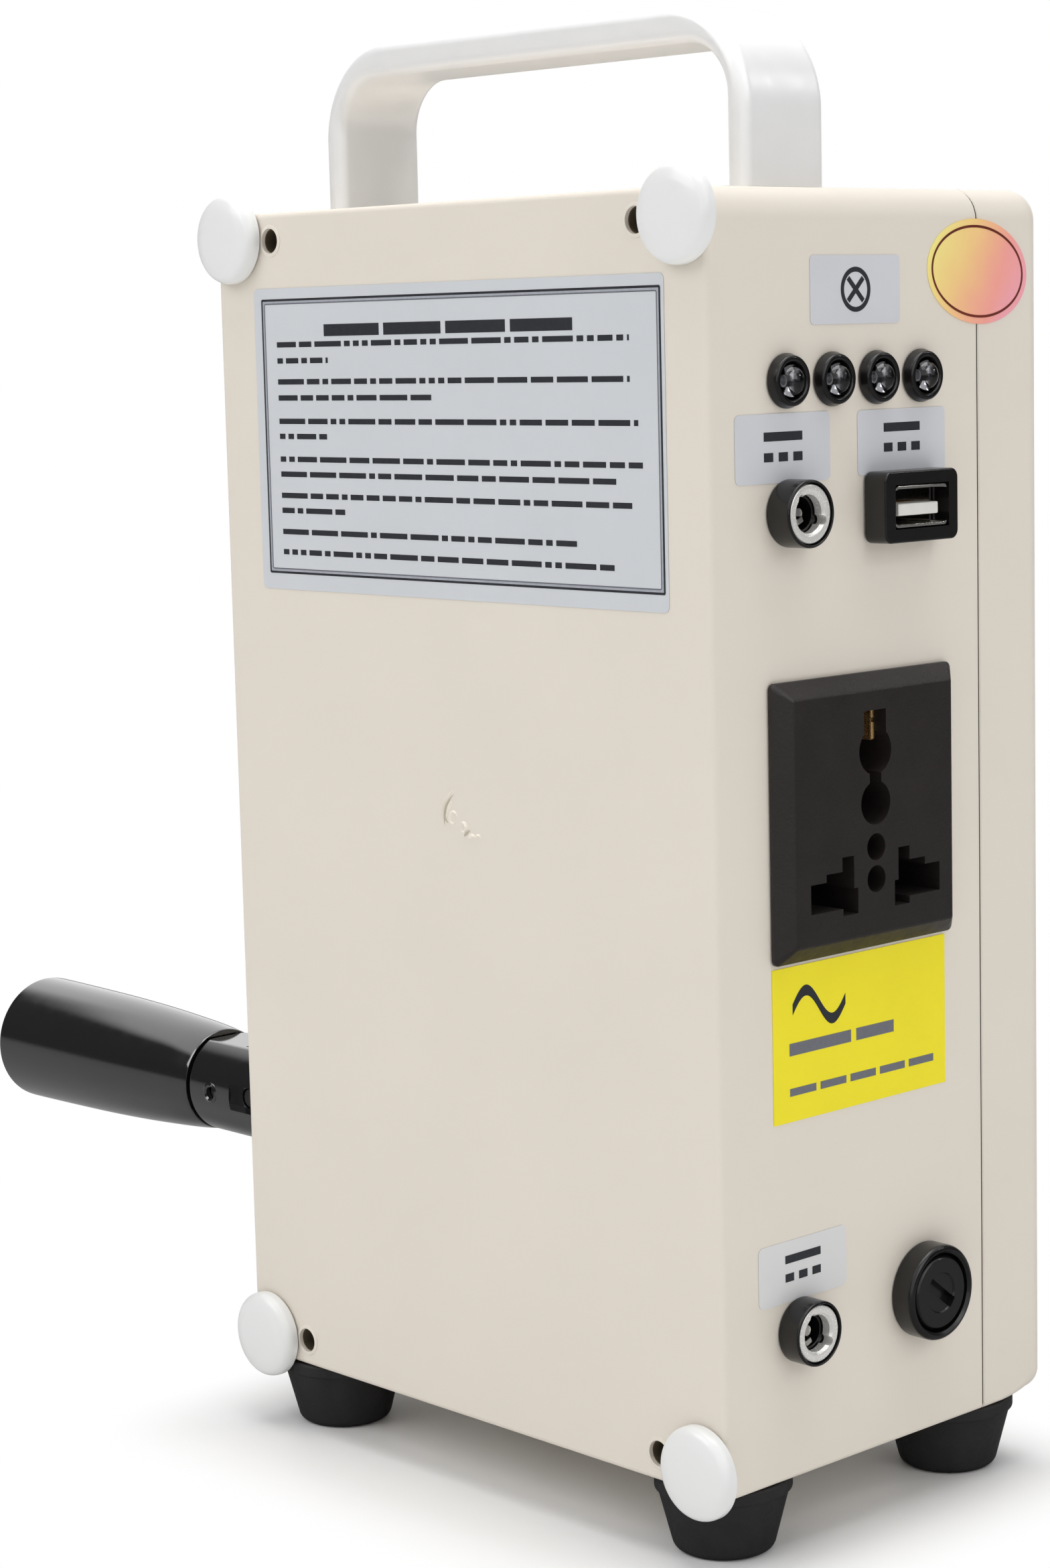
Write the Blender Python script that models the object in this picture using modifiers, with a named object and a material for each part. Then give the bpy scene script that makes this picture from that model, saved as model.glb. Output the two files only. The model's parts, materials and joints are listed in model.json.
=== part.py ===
"""Hand crank generator: an upright plastic box with a folding crank on its left side, power sockets
and four lamps on its right side, a strap handle and switches on top and rubber feet below.

Metres, +Z up. The broad rear face looks along -Y, the sockets along +X and the crank along -X.
The origin is on the ground, under the centre of the bounding box.
"""
import math

import bmesh
import bpy
from mathutils import Matrix, Vector

# Casing: a deep rear shell closed by a shallow front cover
CASE_W = 0.1423
CASE_D = 0.0970
CASE_H = 0.2455
PART_Y = 0.0757
WALL = 0.0025
TOP_CORNER_R = 0.0060
BOTTOM_CORNER_R = 0.0012
BOTTOM_INNER_R = 0.0005
REAR_EDGE_R = 0.0012
FRONT_EDGE_R = 0.0055
GAP = 0.0003
OVERRUN = 0.0010
SINK = 0.0008

# Long case screws, sunk in the rear face and threaded into the cover
SCREW_SIDE_INSET = 0.0178
SCREW_END_INSET = 0.0057
SCREW_SEAT_Y = 0.0130
SCREW_HEAD_R = 0.00225
SCREW_HEAD_H = 0.0022
SCREW_HEAD_SHARES = ((0.8, 1.0), (1.0, 0.7), (1.0, 0.0))
SCREW_SHANK_R = 0.0015
SCREW_THREAD_IN_COVER = 0.0120
REAR_BOSS_R = 0.0049
REAR_BOSS_END_Y = 0.0190
FRONT_BOSS_R = 0.0040

# Clear corner bumpers on the rear face
BUMPER_R = 0.0092
BUMPER_H = 0.0040
BUMPER_EDGE_R = 0.0024
BUMPER_SIDE_INSET = 0.0059
BUMPER_END_INSET = 0.0050

# Rubber feet
FOOT_H = 0.0151
FOOT_LIP_R = 0.0135
FOOT_LIP_H = 0.0026
FOOT_NECK_R = 0.0129
FOOT_SOLE_R = 0.0102
FOOT_SOLE_EDGE_R = 0.0020
FOOT_SIDE_INSET = 0.0137
FOOT_REAR_INSET = 0.0133
FOOT_FRONT_INSET = 0.0163

# Strap handle
HANDLE_LEG_INSET = 0.0103
HANDLE_LEG_T = 0.0054
HANDLE_BAR_T = 0.0070
HANDLE_W = 0.0228
HANDLE_Y = 0.0328
HANDLE_RISE = 0.0346
HANDLE_BEND_R = 0.0195
HANDLE_INNER_R = 0.0106
HANDLE_EDGE_R = 0.0017
HANDLE_BOLT_R = 0.0014
HANDLE_BOLT_HEAD_R = 0.0028
HANDLE_BOLT_HEAD_H = 0.0022
HANDLE_BOLT_GRIP = 0.0100

# Four lamps, at a drop from the top of the casing
LED_COUNT = 4
LED_FIRST_Y = 0.0203
LED_PITCH = 0.01265
LED_DROP = 0.0356
LED_BEZEL_R = 0.0051
LED_BEZEL_PROUD = 0.0024
LED_BEZEL_SHARES = ((0.8, 1.0), (0.84, 0.9), (0.93, 0.6), (1.0, 0.25))
LED_BARREL_R = 0.0039
LED_BARREL_IN = 0.0080
LED_R = 0.0025
LED_TIP = 0.0040
LED_TAIL = 0.0060
LED_DISH_R = 0.0036
LED_DISH_DEPTH = 0.0012

# Round jacks
JACK_R = 0.00635
JACK_BARREL_R = 0.0054
JACK_BARREL_IN = 0.0120
JACK_BORE_R = 0.0030
JACK_PIN_R = 0.0010
JACK_BORE_DEPTH = 0.0110
JACK_RING_R = 0.0055
JACK_RING_T = 0.0026
JACK_RING_BEVEL = 0.0009
JACK_EDGE = 0.0004
OUTPUT_JACK_Y = 0.0209
OUTPUT_JACK_DROP = 0.0600
OUTPUT_JACK_PROUD = 0.0058
CHARGE_JACK_Y = 0.0210
CHARGE_JACK_Z = 0.0294
CHARGE_JACK_PROUD = 0.0052

# USB outlet
USB_Y = 0.0522
USB_DROP = 0.0601
USB_W = 0.0212
USB_H = 0.0136
USB_PROUD = 0.0058
USB_CORNER_R = 0.0012
USB_NECK_W = 0.0174
USB_NECK_H = 0.0104
USB_NECK_IN = 0.0110
USB_SHIELD_W = 0.0150
USB_SHIELD_H = 0.0078
USB_SHIELD_T = 0.0005
USB_SHIELD_OUTER_R = 0.0008
USB_SHIELD_INNER_R = 0.0003
USB_TONGUE_W = 0.0116
USB_TONGUE_T = 0.0019
USB_TONGUE_DROP = 0.0007
USB_TONGUE_SETBACK = 0.0010
USB_BLOCK_L = 0.0030

# Mains socket: a chamfered plate with a block behind the wall
AC_Y = 0.0399
AC_DROP = 0.1179
AC_W = 0.0514
AC_H = 0.0533
AC_PROUD = 0.0040
AC_CHAMFER = 0.0031
AC_RIM = 0.0006
AC_BLOCK_W = 0.0440
AC_BLOCK_H = 0.0450
AC_BLOCK_IN = 0.0180
AC_SLOT_DEPTH = 0.0160
AC_BIG_R = 0.0046
AC_BIG_RISE = 0.0119
AC_NOTCH_W = 0.0063
AC_NOTCH_TOP = 0.0197
AC_NECK_W = 0.0033
AC_OVAL_R = 0.0042
AC_OVAL_RISE = 0.0019
AC_SMALL_R = 0.0026
AC_SMALL_DROPS = (0.0066, 0.0128)
AC_CONTACT_T = 0.0009
AC_CONTACT_L = 0.0100
AC_EARTH_W = 0.0095
AC_BLADE_SLOT_SHARES = (
    (-0.362, -0.220), (-0.277, -0.220), (-0.277, -0.192), (-0.189, -0.192), (-0.189, -0.141),
    (-0.125, -0.141), (-0.125, -0.259), (-0.103, -0.259), (-0.103, -0.352), (-0.187, -0.352),
    (-0.187, -0.326), (-0.362, -0.326))

# Fuse holder
FUSE_Y = 0.0572
FUSE_Z = 0.0295
FUSE_R = 0.0096
FUSE_PROUD = 0.0052
FUSE_EDGE_R = 0.0010
FUSE_BARREL_R = 0.0064
FUSE_BARREL_IN = 0.0250
FUSE_CAP_R = 0.0070
FUSE_CAP_T = 0.0030
FUSE_CAP_SETBACK = 0.0004
FUSE_TUBE_R = 0.0026
FUSE_TUBE_L = 0.0200
FUSE_SLOT_L = 0.0084
FUSE_SLOT_W = 0.0023
FUSE_SLOT_DEPTH = 0.0014
FUSE_SLOT_ANGLE = math.radians(-38)

# Top panel: meter, indicator and three push switches, spread over the casing's width
TOP_ROW_Y = 0.0600
METER_X_SHARE = 0.267
METER_W_SHARE = 0.183
METER_D = 0.0120
METER_PROUD = 0.0010
METER_RIM = 0.0015
METER_BODY_IN = 0.0060
INDICATOR_X_SHARE = 0.3935
INDICATOR_R = 0.0025
INDICATOR_PROUD = 0.0010
INDICATOR_IN = 0.0070
SWITCH_COUNT = 3
SWITCH_FIRST_X_SHARE = 0.492
SWITCH_PITCH_SHARE = 0.1265
SWITCH_SPACE = 0.0015
SWITCH_RIM_H = 0.0011
SWITCH_RIM_W = 0.0017
SWITCH_BARREL_IN = 0.0110
SWITCH_BARREL_T = 0.0013
SWITCH_BUTTON_PROUD = 0.0018
SWITCH_BUTTON_IN = 0.0060
SWITCH_FLOOR = 0.0015
SWITCH_EDGE_R = 0.0005

# Crank: shaft in the left wall, flat arm, fork knuckle and revolving grip
CRANK_Y = 0.0300
SHAFT_DROP = 0.0920
CRANK_THROW = 0.1051
SHAFT_R = 0.0050
SHAFT_TIP_R = 0.0040
BEARING_FLANGE_R = 0.0120
BEARING_FLANGE_T = 0.0028
BEARING_R = 0.0080
ARM_W = 0.0200
ARM_T = 0.0050
ARM_STANDOFF = 0.0058
NUT_FLATS_R = 0.0075
NUT_H = 0.0060
NUT_DOME_H = 0.0022
NUT_DOME_R = 0.0052
PIVOT_REACH = 0.0157
LUG_T = 0.0080
LUG_R = 0.0062
PIVOT_PIN_R = 0.0021
KNUCKLE_R = 0.0116
KNUCKLE_OUT = 0.0197
KNUCKLE_IN = 0.0088
KNUCKLE_FLAT = 0.0103
KNUCKLE_END_EDGE = 0.0006
POCKET_L = 0.0090
POCKET_H = 0.0060
POCKET_DEPTH = 0.0020
SPINDLE_R = 0.0034
SPINDLE_WALL = 0.0022
SPINDLE_PIN_R = 0.0011
SPINDLE_PIN_REACH = 0.0115
SPINDLE_PIN_SUNK = 0.0012
SPINDLE_HEAD_R = 0.0060
SPINDLE_HEAD_H = 0.0028
GRIP_GAP = 0.0008
GRIP_L = 0.0740
GRIP_MAX_R = 0.0149
GRIP_PROFILE_SHARES = (
    (0.000, 0.780), (0.012, 0.795), (0.090, 0.838), (0.200, 0.878), (0.360, 0.925), (0.540, 0.960),
    (0.740, 0.982), (0.978, 0.998), (0.992, 0.985), (1.000, 0.945))

# Gear train and generator
GEAR_MODULE = 0.00125
WHEEL_TEETH = 36
PINION_TEETH = 12
GEAR_T = 0.0060
GEAR_LAYER_GAP = 0.0020
ADDENDUM_SHARE = 0.70
DEDENDUM_SHARE = 1.15
TOOTH_TIP_SHARE = 0.10
TOOTH_ROOT_SHARE = 0.25
FRAME_T = 0.0030
FRAME_GEAR_GAP = 0.0030
FRAME_LAST_GAP = 0.0040
FRAME_MARGIN = 0.0030
AXLE_R = 0.0025
GENERATOR_R = 0.0220
GENERATOR_L = 0.0450
GENERATOR_EDGE_R = 0.0020
ROTOR_SHAFT_IN = 0.0200

# Battery and inverter board
BATTERY_SIDE_GAP = 0.0030
BATTERY_FUSE_GAP = 0.0053
BATTERY_Y0 = 0.0060
BATTERY_D = 0.0660
BATTERY_H = 0.0590
BATTERY_EDGE_R = 0.0015
BOARD_X0 = 0.0400
BOARD_SOCKET_GAP = 0.0083
BOARD_Z0 = 0.0700
BOARD_H = 0.0500
BOARD_T = 0.0016
BOARD_STANDOFF = 0.0100
BOARD_POST_R = 0.0030
BOARD_POST_INSET = 0.0050
TRANSFORMER_L = 0.0300
TRANSFORMER_H = 0.0260
TRANSFORMER_D = 0.0240

# Places that follow from the sizes above
LED_Z = CASE_H - LED_DROP
OUTPUT_JACK_Z = CASE_H - OUTPUT_JACK_DROP
USB_Z = CASE_H - USB_DROP
AC_Z = CASE_H - AC_DROP
SHAFT_Z = CASE_H - SHAFT_DROP
METER_X = CASE_W * METER_X_SHARE
METER_W = CASE_W * METER_W_SHARE
INDICATOR_X = CASE_W * INDICATOR_X_SHARE
SWITCH_FIRST_X = CASE_W * SWITCH_FIRST_X_SHARE
SWITCH_PITCH = CASE_W * SWITCH_PITCH_SHARE
SWITCH_RIM_R = SWITCH_PITCH / 2 - SWITCH_SPACE
SWITCH_BARREL_R = SWITCH_RIM_R - SWITCH_RIM_W
SWITCH_BUTTON_R = SWITCH_BARREL_R - SWITCH_BARREL_T
BATTERY_RIGHT_X = CASE_W - FUSE_BARREL_IN - BATTERY_FUSE_GAP
BOARD_L = CASE_W - AC_BLOCK_IN - BOARD_SOCKET_GAP - BOARD_X0
RIGHT_REACH = max(OUTPUT_JACK_PROUD, USB_PROUD, FUSE_PROUD, CHARGE_JACK_PROUD, AC_PROUD)
ARM_IN_X = -ARM_STANDOFF
ARM_OUT_X = ARM_IN_X - ARM_T
PIVOT_X = ARM_OUT_X - PIVOT_REACH
KNUCKLE_END_X = PIVOT_X - KNUCKLE_OUT
GRIP_START_X = KNUCKLE_END_X - GRIP_GAP
GRIP_END_X = GRIP_START_X - GRIP_L
GRIP_Z = SHAFT_Z - CRANK_THROW
LEFT_X = -(GRIP_END_X + CASE_W + RIGHT_REACH) / 2
REAR_Y = -(CASE_D - GAP - BUMPER_H) / 2
BASE_Z = FOOT_H
FRAME_IN_X = WALL + GAP
LAYER_1_X = FRAME_IN_X + FRAME_T + FRAME_GEAR_GAP
LAYER_2_X = LAYER_1_X + GEAR_T + GEAR_LAYER_GAP
FRAME_OUT_X = LAYER_2_X + GEAR_T + FRAME_LAST_GAP + FRAME_T
GEAR_CENTRES = GEAR_MODULE * (WHEEL_TEETH + PINION_TEETH) / 2
WHEEL_TIP_R = GEAR_MODULE * (WHEEL_TEETH / 2 + ADDENDUM_SHARE)
IDLER_Z = SHAFT_Z + GEAR_CENTRES
GENERATOR_Y = CRANK_Y + GEAR_CENTRES

RIGHT = Vector((1, 0, 0))
LEFT = Vector((-1, 0, 0))
FRONT = Vector((0, 1, 0))
REAR = Vector((0, -1, 0))
UP = Vector((0, 0, 1))
DOWN = Vector((0, 0, -1))

MERGE = 0.00001
ROUND = 24
FINE = 32
COARSE = 12
SHARP_ANGLE = 40

# Finishes: colour, roughness, metallic
FINISHES = {
    "beige_plastic": ((0.72, 0.68, 0.60), 0.45, 0.0),
    "black_plastic": ((0.022, 0.021, 0.022), 0.35, 0.0),
    "gloss_black": ((0.012, 0.012, 0.013), 0.18, 0.0),
    "black_rubber": ((0.018, 0.018, 0.018), 0.75, 0.0),
    "clear_rubber": ((0.80, 0.80, 0.78), 0.30, 0.0),
    "satin_aluminium": ((0.72, 0.73, 0.74), 0.32, 1.0),
    "steel": ((0.55, 0.55, 0.56), 0.35, 1.0),
    "black_steel": ((0.03, 0.03, 0.03), 0.40, 0.6),
    "nickel": ((0.80, 0.79, 0.76), 0.20, 1.0),
    "brass": ((0.76, 0.57, 0.25), 0.30, 1.0),
    "clear_plastic": ((0.85, 0.87, 0.88), 0.08, 0.0),
    "white_plastic": ((0.80, 0.80, 0.78), 0.40, 0.0),
    "nylon": ((0.70, 0.69, 0.64), 0.50, 0.0),
    "green_board": ((0.03, 0.20, 0.09), 0.50, 0.0),
    "blue_wrap": ((0.05, 0.14, 0.42), 0.40, 0.0),
}

for old in list(bpy.data.objects):
    bpy.data.objects.remove(old, do_unlink=True)

parts = bpy.data.collections.new("Hand Crank Generator")
cutters = bpy.data.collections.new("Cutters")
bpy.context.scene.collection.children.link(parts)
bpy.context.scene.collection.children.link(cutters)


def case(x, y, z):
    """World place of a point given from the casing's left, rear and bottom faces."""
    return Vector((LEFT_X + x, REAR_Y + y, BASE_Z + z))


def add_object(name, mesh, finish, at, turn=None):
    """Add a named object with its own material, or a wire cutter when finish is None."""
    obj = bpy.data.objects.new(name, mesh)
    obj.matrix_world = Matrix.Translation(at) @ (turn.to_matrix().to_4x4() if turn else Matrix())
    if finish is None:
        cutters.objects.link(obj)
        obj.hide_render = True
        obj.display_type = 'WIRE'
        return obj
    parts.objects.link(obj)
    colour, roughness, metallic = FINISHES[finish]
    surface = bpy.data.materials.new(name + "_" + finish)
    surface.use_nodes = True
    shader = surface.node_tree.nodes["Principled BSDF"]
    shader.inputs["Base Color"].default_value = (*colour, 1)
    shader.inputs["Roughness"].default_value = roughness
    shader.inputs["Metallic"].default_value = metallic
    mesh.materials.append(surface)
    return obj


def block(name, low, high, finish, rounding=0.0):
    """A box between two case corners, with rounded edges if asked."""
    low = case(*low)
    high = case(*high)
    size = high - low
    bm = bmesh.new()
    bmesh.ops.create_cube(bm, size=1)
    bmesh.ops.scale(bm, vec=size, verts=bm.verts)
    mesh = bpy.data.meshes.new(name)
    bm.to_mesh(mesh)
    bm.free()
    obj = add_object(name, mesh, finish, (low + high) / 2)
    if rounding:
        bevel = obj.modifiers.new("Rounded edges", 'BEVEL')
        bevel.width = rounding
        bevel.segments = 2
        bevel.limit_method = 'ANGLE'
        bevel.angle_limit = math.radians(SHARP_ANGLE)
    return obj


def rod(name, radius, length, at, toward, finish, sides=ROUND):
    """A cylinder that starts at a point and runs along a direction."""
    bm = bmesh.new()
    bmesh.ops.create_cone(bm, cap_ends=True, segments=sides, radius1=radius, radius2=radius, depth=length)
    mesh = bpy.data.meshes.new(name)
    bm.to_mesh(mesh)
    bm.free()
    smooth(mesh)
    return add_object(name, mesh, finish, at + toward * (length / 2), toward.to_track_quat('Z', 'Y'))


def smooth(mesh):
    mesh.shade_smooth()
    mesh.set_sharp_from_angle(angle=math.radians(35))


def turned(name, profile, at, toward, finish, steps=ROUND, closed=False):
    """A turned piece. The profile gives (radius, height along the axis), top first, down the outside."""
    mesh = bpy.data.meshes.new(name)
    bm = bmesh.new()
    verts = [bm.verts.new((radius, 0, height)) for radius, height in profile]
    for first, second in zip(verts, verts[1:]):
        bm.edges.new((first, second))
    if closed:
        bm.edges.new((verts[-1], verts[0]))
    bm.to_mesh(mesh)
    bm.free()
    obj = add_object(name, mesh, finish, at, toward.to_track_quat('Z', 'Y'))
    screw = obj.modifiers.new("Turned", 'SCREW')
    screw.axis = 'Z'
    screw.steps = steps
    screw.render_steps = steps
    screw.use_merge_vertices = True
    screw.merge_threshold = MERGE
    screw.use_smooth_shade = True
    return obj


def flat(name, outlines, thickness, finish, at, across, upward):
    """A flat piece: outlines in the plane of two directions, the first one outside, others holes."""
    curve = bpy.data.curves.new(name, 'CURVE')
    curve.dimensions = '2D'
    curve.fill_mode = 'BOTH'
    curve.extrude = thickness / 2
    for outline in outlines:
        spline = curve.splines.new('POLY')
        spline.points.add(len(outline) - 1)
        for point, (u, v) in zip(spline.points, outline):
            point.co = (u, v, 0, 1)
        spline.use_cyclic_u = True
    guide = bpy.data.objects.new(name + "_outline", curve)
    parts.objects.link(guide)
    bpy.context.view_layer.update()
    mesh = bpy.data.meshes.new_from_object(guide.evaluated_get(bpy.context.evaluated_depsgraph_get()))
    bpy.data.objects.remove(guide, do_unlink=True)
    mesh.name = name
    mesh.materials.clear()
    bm = bmesh.new()
    bm.from_mesh(mesh)
    bmesh.ops.remove_doubles(bm, verts=bm.verts, dist=MERGE)
    bmesh.ops.recalc_face_normals(bm, faces=bm.faces)
    bm.to_mesh(mesh)
    bm.free()
    smooth(mesh)
    normal = across.cross(upward)
    turn = Matrix((across, upward, normal)).transposed().to_quaternion()
    return add_object(name, mesh, finish, at, turn)


def boolean(obj, other, operation):
    modifier = obj.modifiers.new(operation.title(), 'BOOLEAN')
    modifier.operation = operation
    modifier.solver = 'EXACT'
    modifier.object = other


def cut(obj, *others):
    for other in others:
        boolean(obj, other, 'DIFFERENCE')


def join(obj, *others):
    for other in others:
        boolean(obj, other, 'UNION')


def arc(centre_u, centre_v, radius, start, end, steps):
    """Points on an arc, angles in degrees."""
    points = []
    for step in range(steps + 1):
        angle = math.radians(start + (end - start) * step / steps)
        points.append((centre_u + radius * math.cos(angle), centre_v + radius * math.sin(angle)))
    return points


def rounded_rectangle(width, height, radius, steps=4, lower_radius=None):
    """A rectangle with rounded corners; the two lower ones may have their own radius."""
    low_r = lower_radius or radius
    u = width / 2
    v = height / 2
    return (arc(u - radius, v - radius, radius, 0, 90, steps)
            + arc(radius - u, v - radius, radius, 90, 180, steps)
            + arc(low_r - u, low_r - v, low_r, 180, 270, steps)
            + arc(u - low_r, low_r - v, low_r, 270, 360, steps))


def on_mitre(point, size):
    """Whether a point lies as far in from the side as from the bottom."""
    return abs((size.x / 2 - abs(point.x)) - (size.z / 2 + point.z)) < MERGE


def shell_body(name, y0, y1, broad_y, edge_r, finish):
    """A solid slice of the casing: its top corners, its broad face's edge, then its bottom corners."""
    low = case(0, y0, 0)
    high = case(CASE_W, y1, CASE_H)
    size = high - low
    bm = bmesh.new()
    bmesh.ops.create_cube(bm, size=1)
    bmesh.ops.scale(bm, vec=size, verts=bm.verts)
    top_edges = [e for e in bm.edges if all(v.co.z > 0 for v in e.verts)
                 and abs(e.verts[0].co.y - e.verts[1].co.y) > size.y / 2]
    bmesh.ops.bevel(bm, geom=top_edges, offset=TOP_CORNER_R, segments=4, affect='EDGES', profile=0.5)
    side = -size.y / 2 if broad_y == y0 else size.y / 2
    rim = [e for e in bm.edges if all(abs(v.co.y - side) < MERGE for v in e.verts)]
    bmesh.ops.bevel(bm, geom=rim, offset=edge_r, segments=3, affect='EDGES', profile=0.5)
    mitre = [e for e in bm.edges if all(v.co.z < 0 and on_mitre(v.co, size) for v in e.verts)]
    bmesh.ops.bevel(bm, geom=mitre, offset=BOTTOM_CORNER_R, segments=2, affect='EDGES', profile=0.5,
                    clamp_overlap=True)
    mesh = bpy.data.meshes.new(name)
    bm.to_mesh(mesh)
    bm.free()
    smooth(mesh)
    return add_object(name, mesh, finish, (low + high) / 2)


def cavity(name, y0, y1):
    """The hollow inside the casing, with its own corner radii along Y."""
    low = case(WALL, y0, WALL)
    high = case(CASE_W - WALL, y1, CASE_H - WALL)
    size = high - low
    outline = rounded_rectangle(size.x, size.z, TOP_CORNER_R - WALL, lower_radius=BOTTOM_INNER_R)
    return flat(name, [outline], size.y, None, (low + high) / 2, RIGHT, UP)


def gear_outline(teeth, centred):
    """Trapezoid teeth with plenty of backlash; centred is the angle of one tooth's middle."""
    pitch_r = GEAR_MODULE * teeth / 2
    tip_r = pitch_r + GEAR_MODULE * ADDENDUM_SHARE
    root_r = pitch_r - GEAR_MODULE * DEDENDUM_SHARE
    tooth = 2 * math.pi / teeth
    points = []
    for index in range(teeth):
        middle = math.radians(centred) + tooth * index
        for radius, offset in ((root_r, -TOOTH_ROOT_SHARE), (tip_r, -TOOTH_TIP_SHARE),
                               (tip_r, TOOTH_TIP_SHARE), (root_r, TOOTH_ROOT_SHARE)):
            angle = middle + offset * tooth
            points.append((radius * math.cos(angle), radius * math.sin(angle)))
    return points


def circle(radius, steps=ROUND):
    return arc(0, 0, radius, 0, 360 - 360 / steps, steps - 1)


# Rear shell and front cover
rear_shell = shell_body("rear_shell", 0, PART_Y, 0, REAR_EDGE_R, "beige_plastic")
cut(rear_shell, cavity("rear_hollow", WALL, PART_Y + OVERRUN))
front_cover = shell_body("front_cover", PART_Y + GAP, CASE_D, CASE_D, FRONT_EDGE_R, "beige_plastic")
cut(front_cover, cavity("front_hollow", PART_Y - OVERRUN, CASE_D - WALL))

# Case screws in their bosses
SCREW_END_Y = PART_Y + SCREW_THREAD_IN_COVER
screw_places = [(x, z) for x in (SCREW_SIDE_INSET, CASE_W - SCREW_SIDE_INSET)
                for z in (SCREW_END_INSET, CASE_H - SCREW_END_INSET)]
for number, (x, z) in enumerate(screw_places, 1):
    join(rear_shell, rod(f"rear_boss_{number}", REAR_BOSS_R, REAR_BOSS_END_Y - WALL / 2,
                         case(x, WALL / 2, z), FRONT, None, 16))
    join(front_cover, rod(f"front_boss_{number}", FRONT_BOSS_R, CASE_D - WALL - PART_Y,
                          case(x, PART_Y + SINK, z), FRONT, None, 16))
for number, (x, z) in enumerate(screw_places, 1):
    cut(rear_shell,
        rod(f"head_bore_{number}", SCREW_HEAD_R + GAP, SCREW_SEAT_Y + OVERRUN, case(x, -OVERRUN, z),
            FRONT, None, COARSE),
        rod(f"shank_bore_{number}", SCREW_SHANK_R + GAP, PART_Y, case(x, SCREW_SEAT_Y - OVERRUN, z),
            FRONT, None, COARSE))
    cut(front_cover,
        rod(f"thread_bore_{number}", SCREW_SHANK_R + GAP, SCREW_THREAD_IN_COVER + OVERRUN,
            case(x, PART_Y, z), FRONT, None, COARSE))
    head_y = SCREW_SEAT_Y - GAP
    turned(f"case_screw_{number}",
           [(0, SCREW_HEAD_H)] + [(SCREW_HEAD_R * r, SCREW_HEAD_H * h) for r, h in SCREW_HEAD_SHARES]
           + [(SCREW_SHANK_R, 0), (SCREW_SHANK_R, head_y - SCREW_END_Y), (0, head_y - SCREW_END_Y)],
           case(x, head_y, z), REAR, "steel", COARSE)

# Corner bumpers
bumper_places = [(x, z) for x in (BUMPER_SIDE_INSET, CASE_W - BUMPER_SIDE_INSET)
                 for z in (BUMPER_END_INSET, CASE_H - BUMPER_END_INSET)]
for number, (x, z) in enumerate(bumper_places, 1):
    edge = arc(BUMPER_R - BUMPER_EDGE_R, BUMPER_H - BUMPER_EDGE_R, BUMPER_EDGE_R, 90, 0, 3)
    turned(f"corner_bumper_{number}", [(0, BUMPER_H)] + edge + [(BUMPER_R, 0), (0, 0)],
           case(x, -GAP, z), REAR, "clear_rubber", 20)

# Rubber feet
foot_places = [(x, y) for x in (FOOT_SIDE_INSET, CASE_W - FOOT_SIDE_INSET)
               for y in (FOOT_REAR_INSET, CASE_D - FOOT_FRONT_INSET)]
for number, (x, y) in enumerate(foot_places, 1):
    sole = arc(FOOT_SOLE_R - FOOT_SOLE_EDGE_R, FOOT_SOLE_EDGE_R, FOOT_SOLE_EDGE_R, 0, -90, 2)
    turned(f"rubber_foot_{number}",
           [(0, FOOT_H - GAP), (FOOT_LIP_R - SINK, FOOT_H - GAP), (FOOT_LIP_R, FOOT_H - GAP - SINK),
            (FOOT_LIP_R, FOOT_H - FOOT_LIP_H), (FOOT_NECK_R, FOOT_H - FOOT_LIP_H)] + sole + [(0, 0)],
           case(x, y, -FOOT_H), UP, "black_rubber", 20)

# Strap handle, bolted from inside
leg_x = CASE_W / 2 - HANDLE_LEG_INSET
inner_leg_x = leg_x - HANDLE_LEG_T
inner_rise = HANDLE_RISE - HANDLE_BAR_T
right_half = [(leg_x, GAP)] + arc(leg_x - HANDLE_BEND_R, HANDLE_RISE - HANDLE_BEND_R,
                                  HANDLE_BEND_R, 0, 90, 7)
left_half = [(-u, v) for u, v in reversed(right_half)]
inner_right = [(inner_leg_x, GAP)] + arc(inner_leg_x - HANDLE_INNER_R, inner_rise - HANDLE_INNER_R,
                                         HANDLE_INNER_R, 0, 90, 6)
inner_left = [(-u, v) for u, v in reversed(inner_right)]
strap = right_half + left_half + list(reversed(inner_right + inner_left))
carry_handle = flat("carry_handle", [strap], HANDLE_W, "satin_aluminium",
                    case(CASE_W / 2, HANDLE_Y, CASE_H), RIGHT, UP)
strap_mesh = bmesh.new()
strap_mesh.from_mesh(carry_handle.data)
bmesh.ops.dissolve_limit(strap_mesh, angle_limit=math.radians(1), verts=strap_mesh.verts,
                         edges=strap_mesh.edges)
rims = [e for e in strap_mesh.edges if e.calc_face_angle() > math.radians(SHARP_ANGLE)
        and any(v.co.y > GAP + MERGE for v in e.verts)]
bmesh.ops.bevel(strap_mesh, geom=rims, offset=HANDLE_EDGE_R, segments=3, affect='EDGES', profile=0.5)
strap_mesh.to_mesh(carry_handle.data)
strap_mesh.free()
smooth(carry_handle.data)
bolt_inset = HANDLE_LEG_INSET + HANDLE_LEG_T / 2
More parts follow.
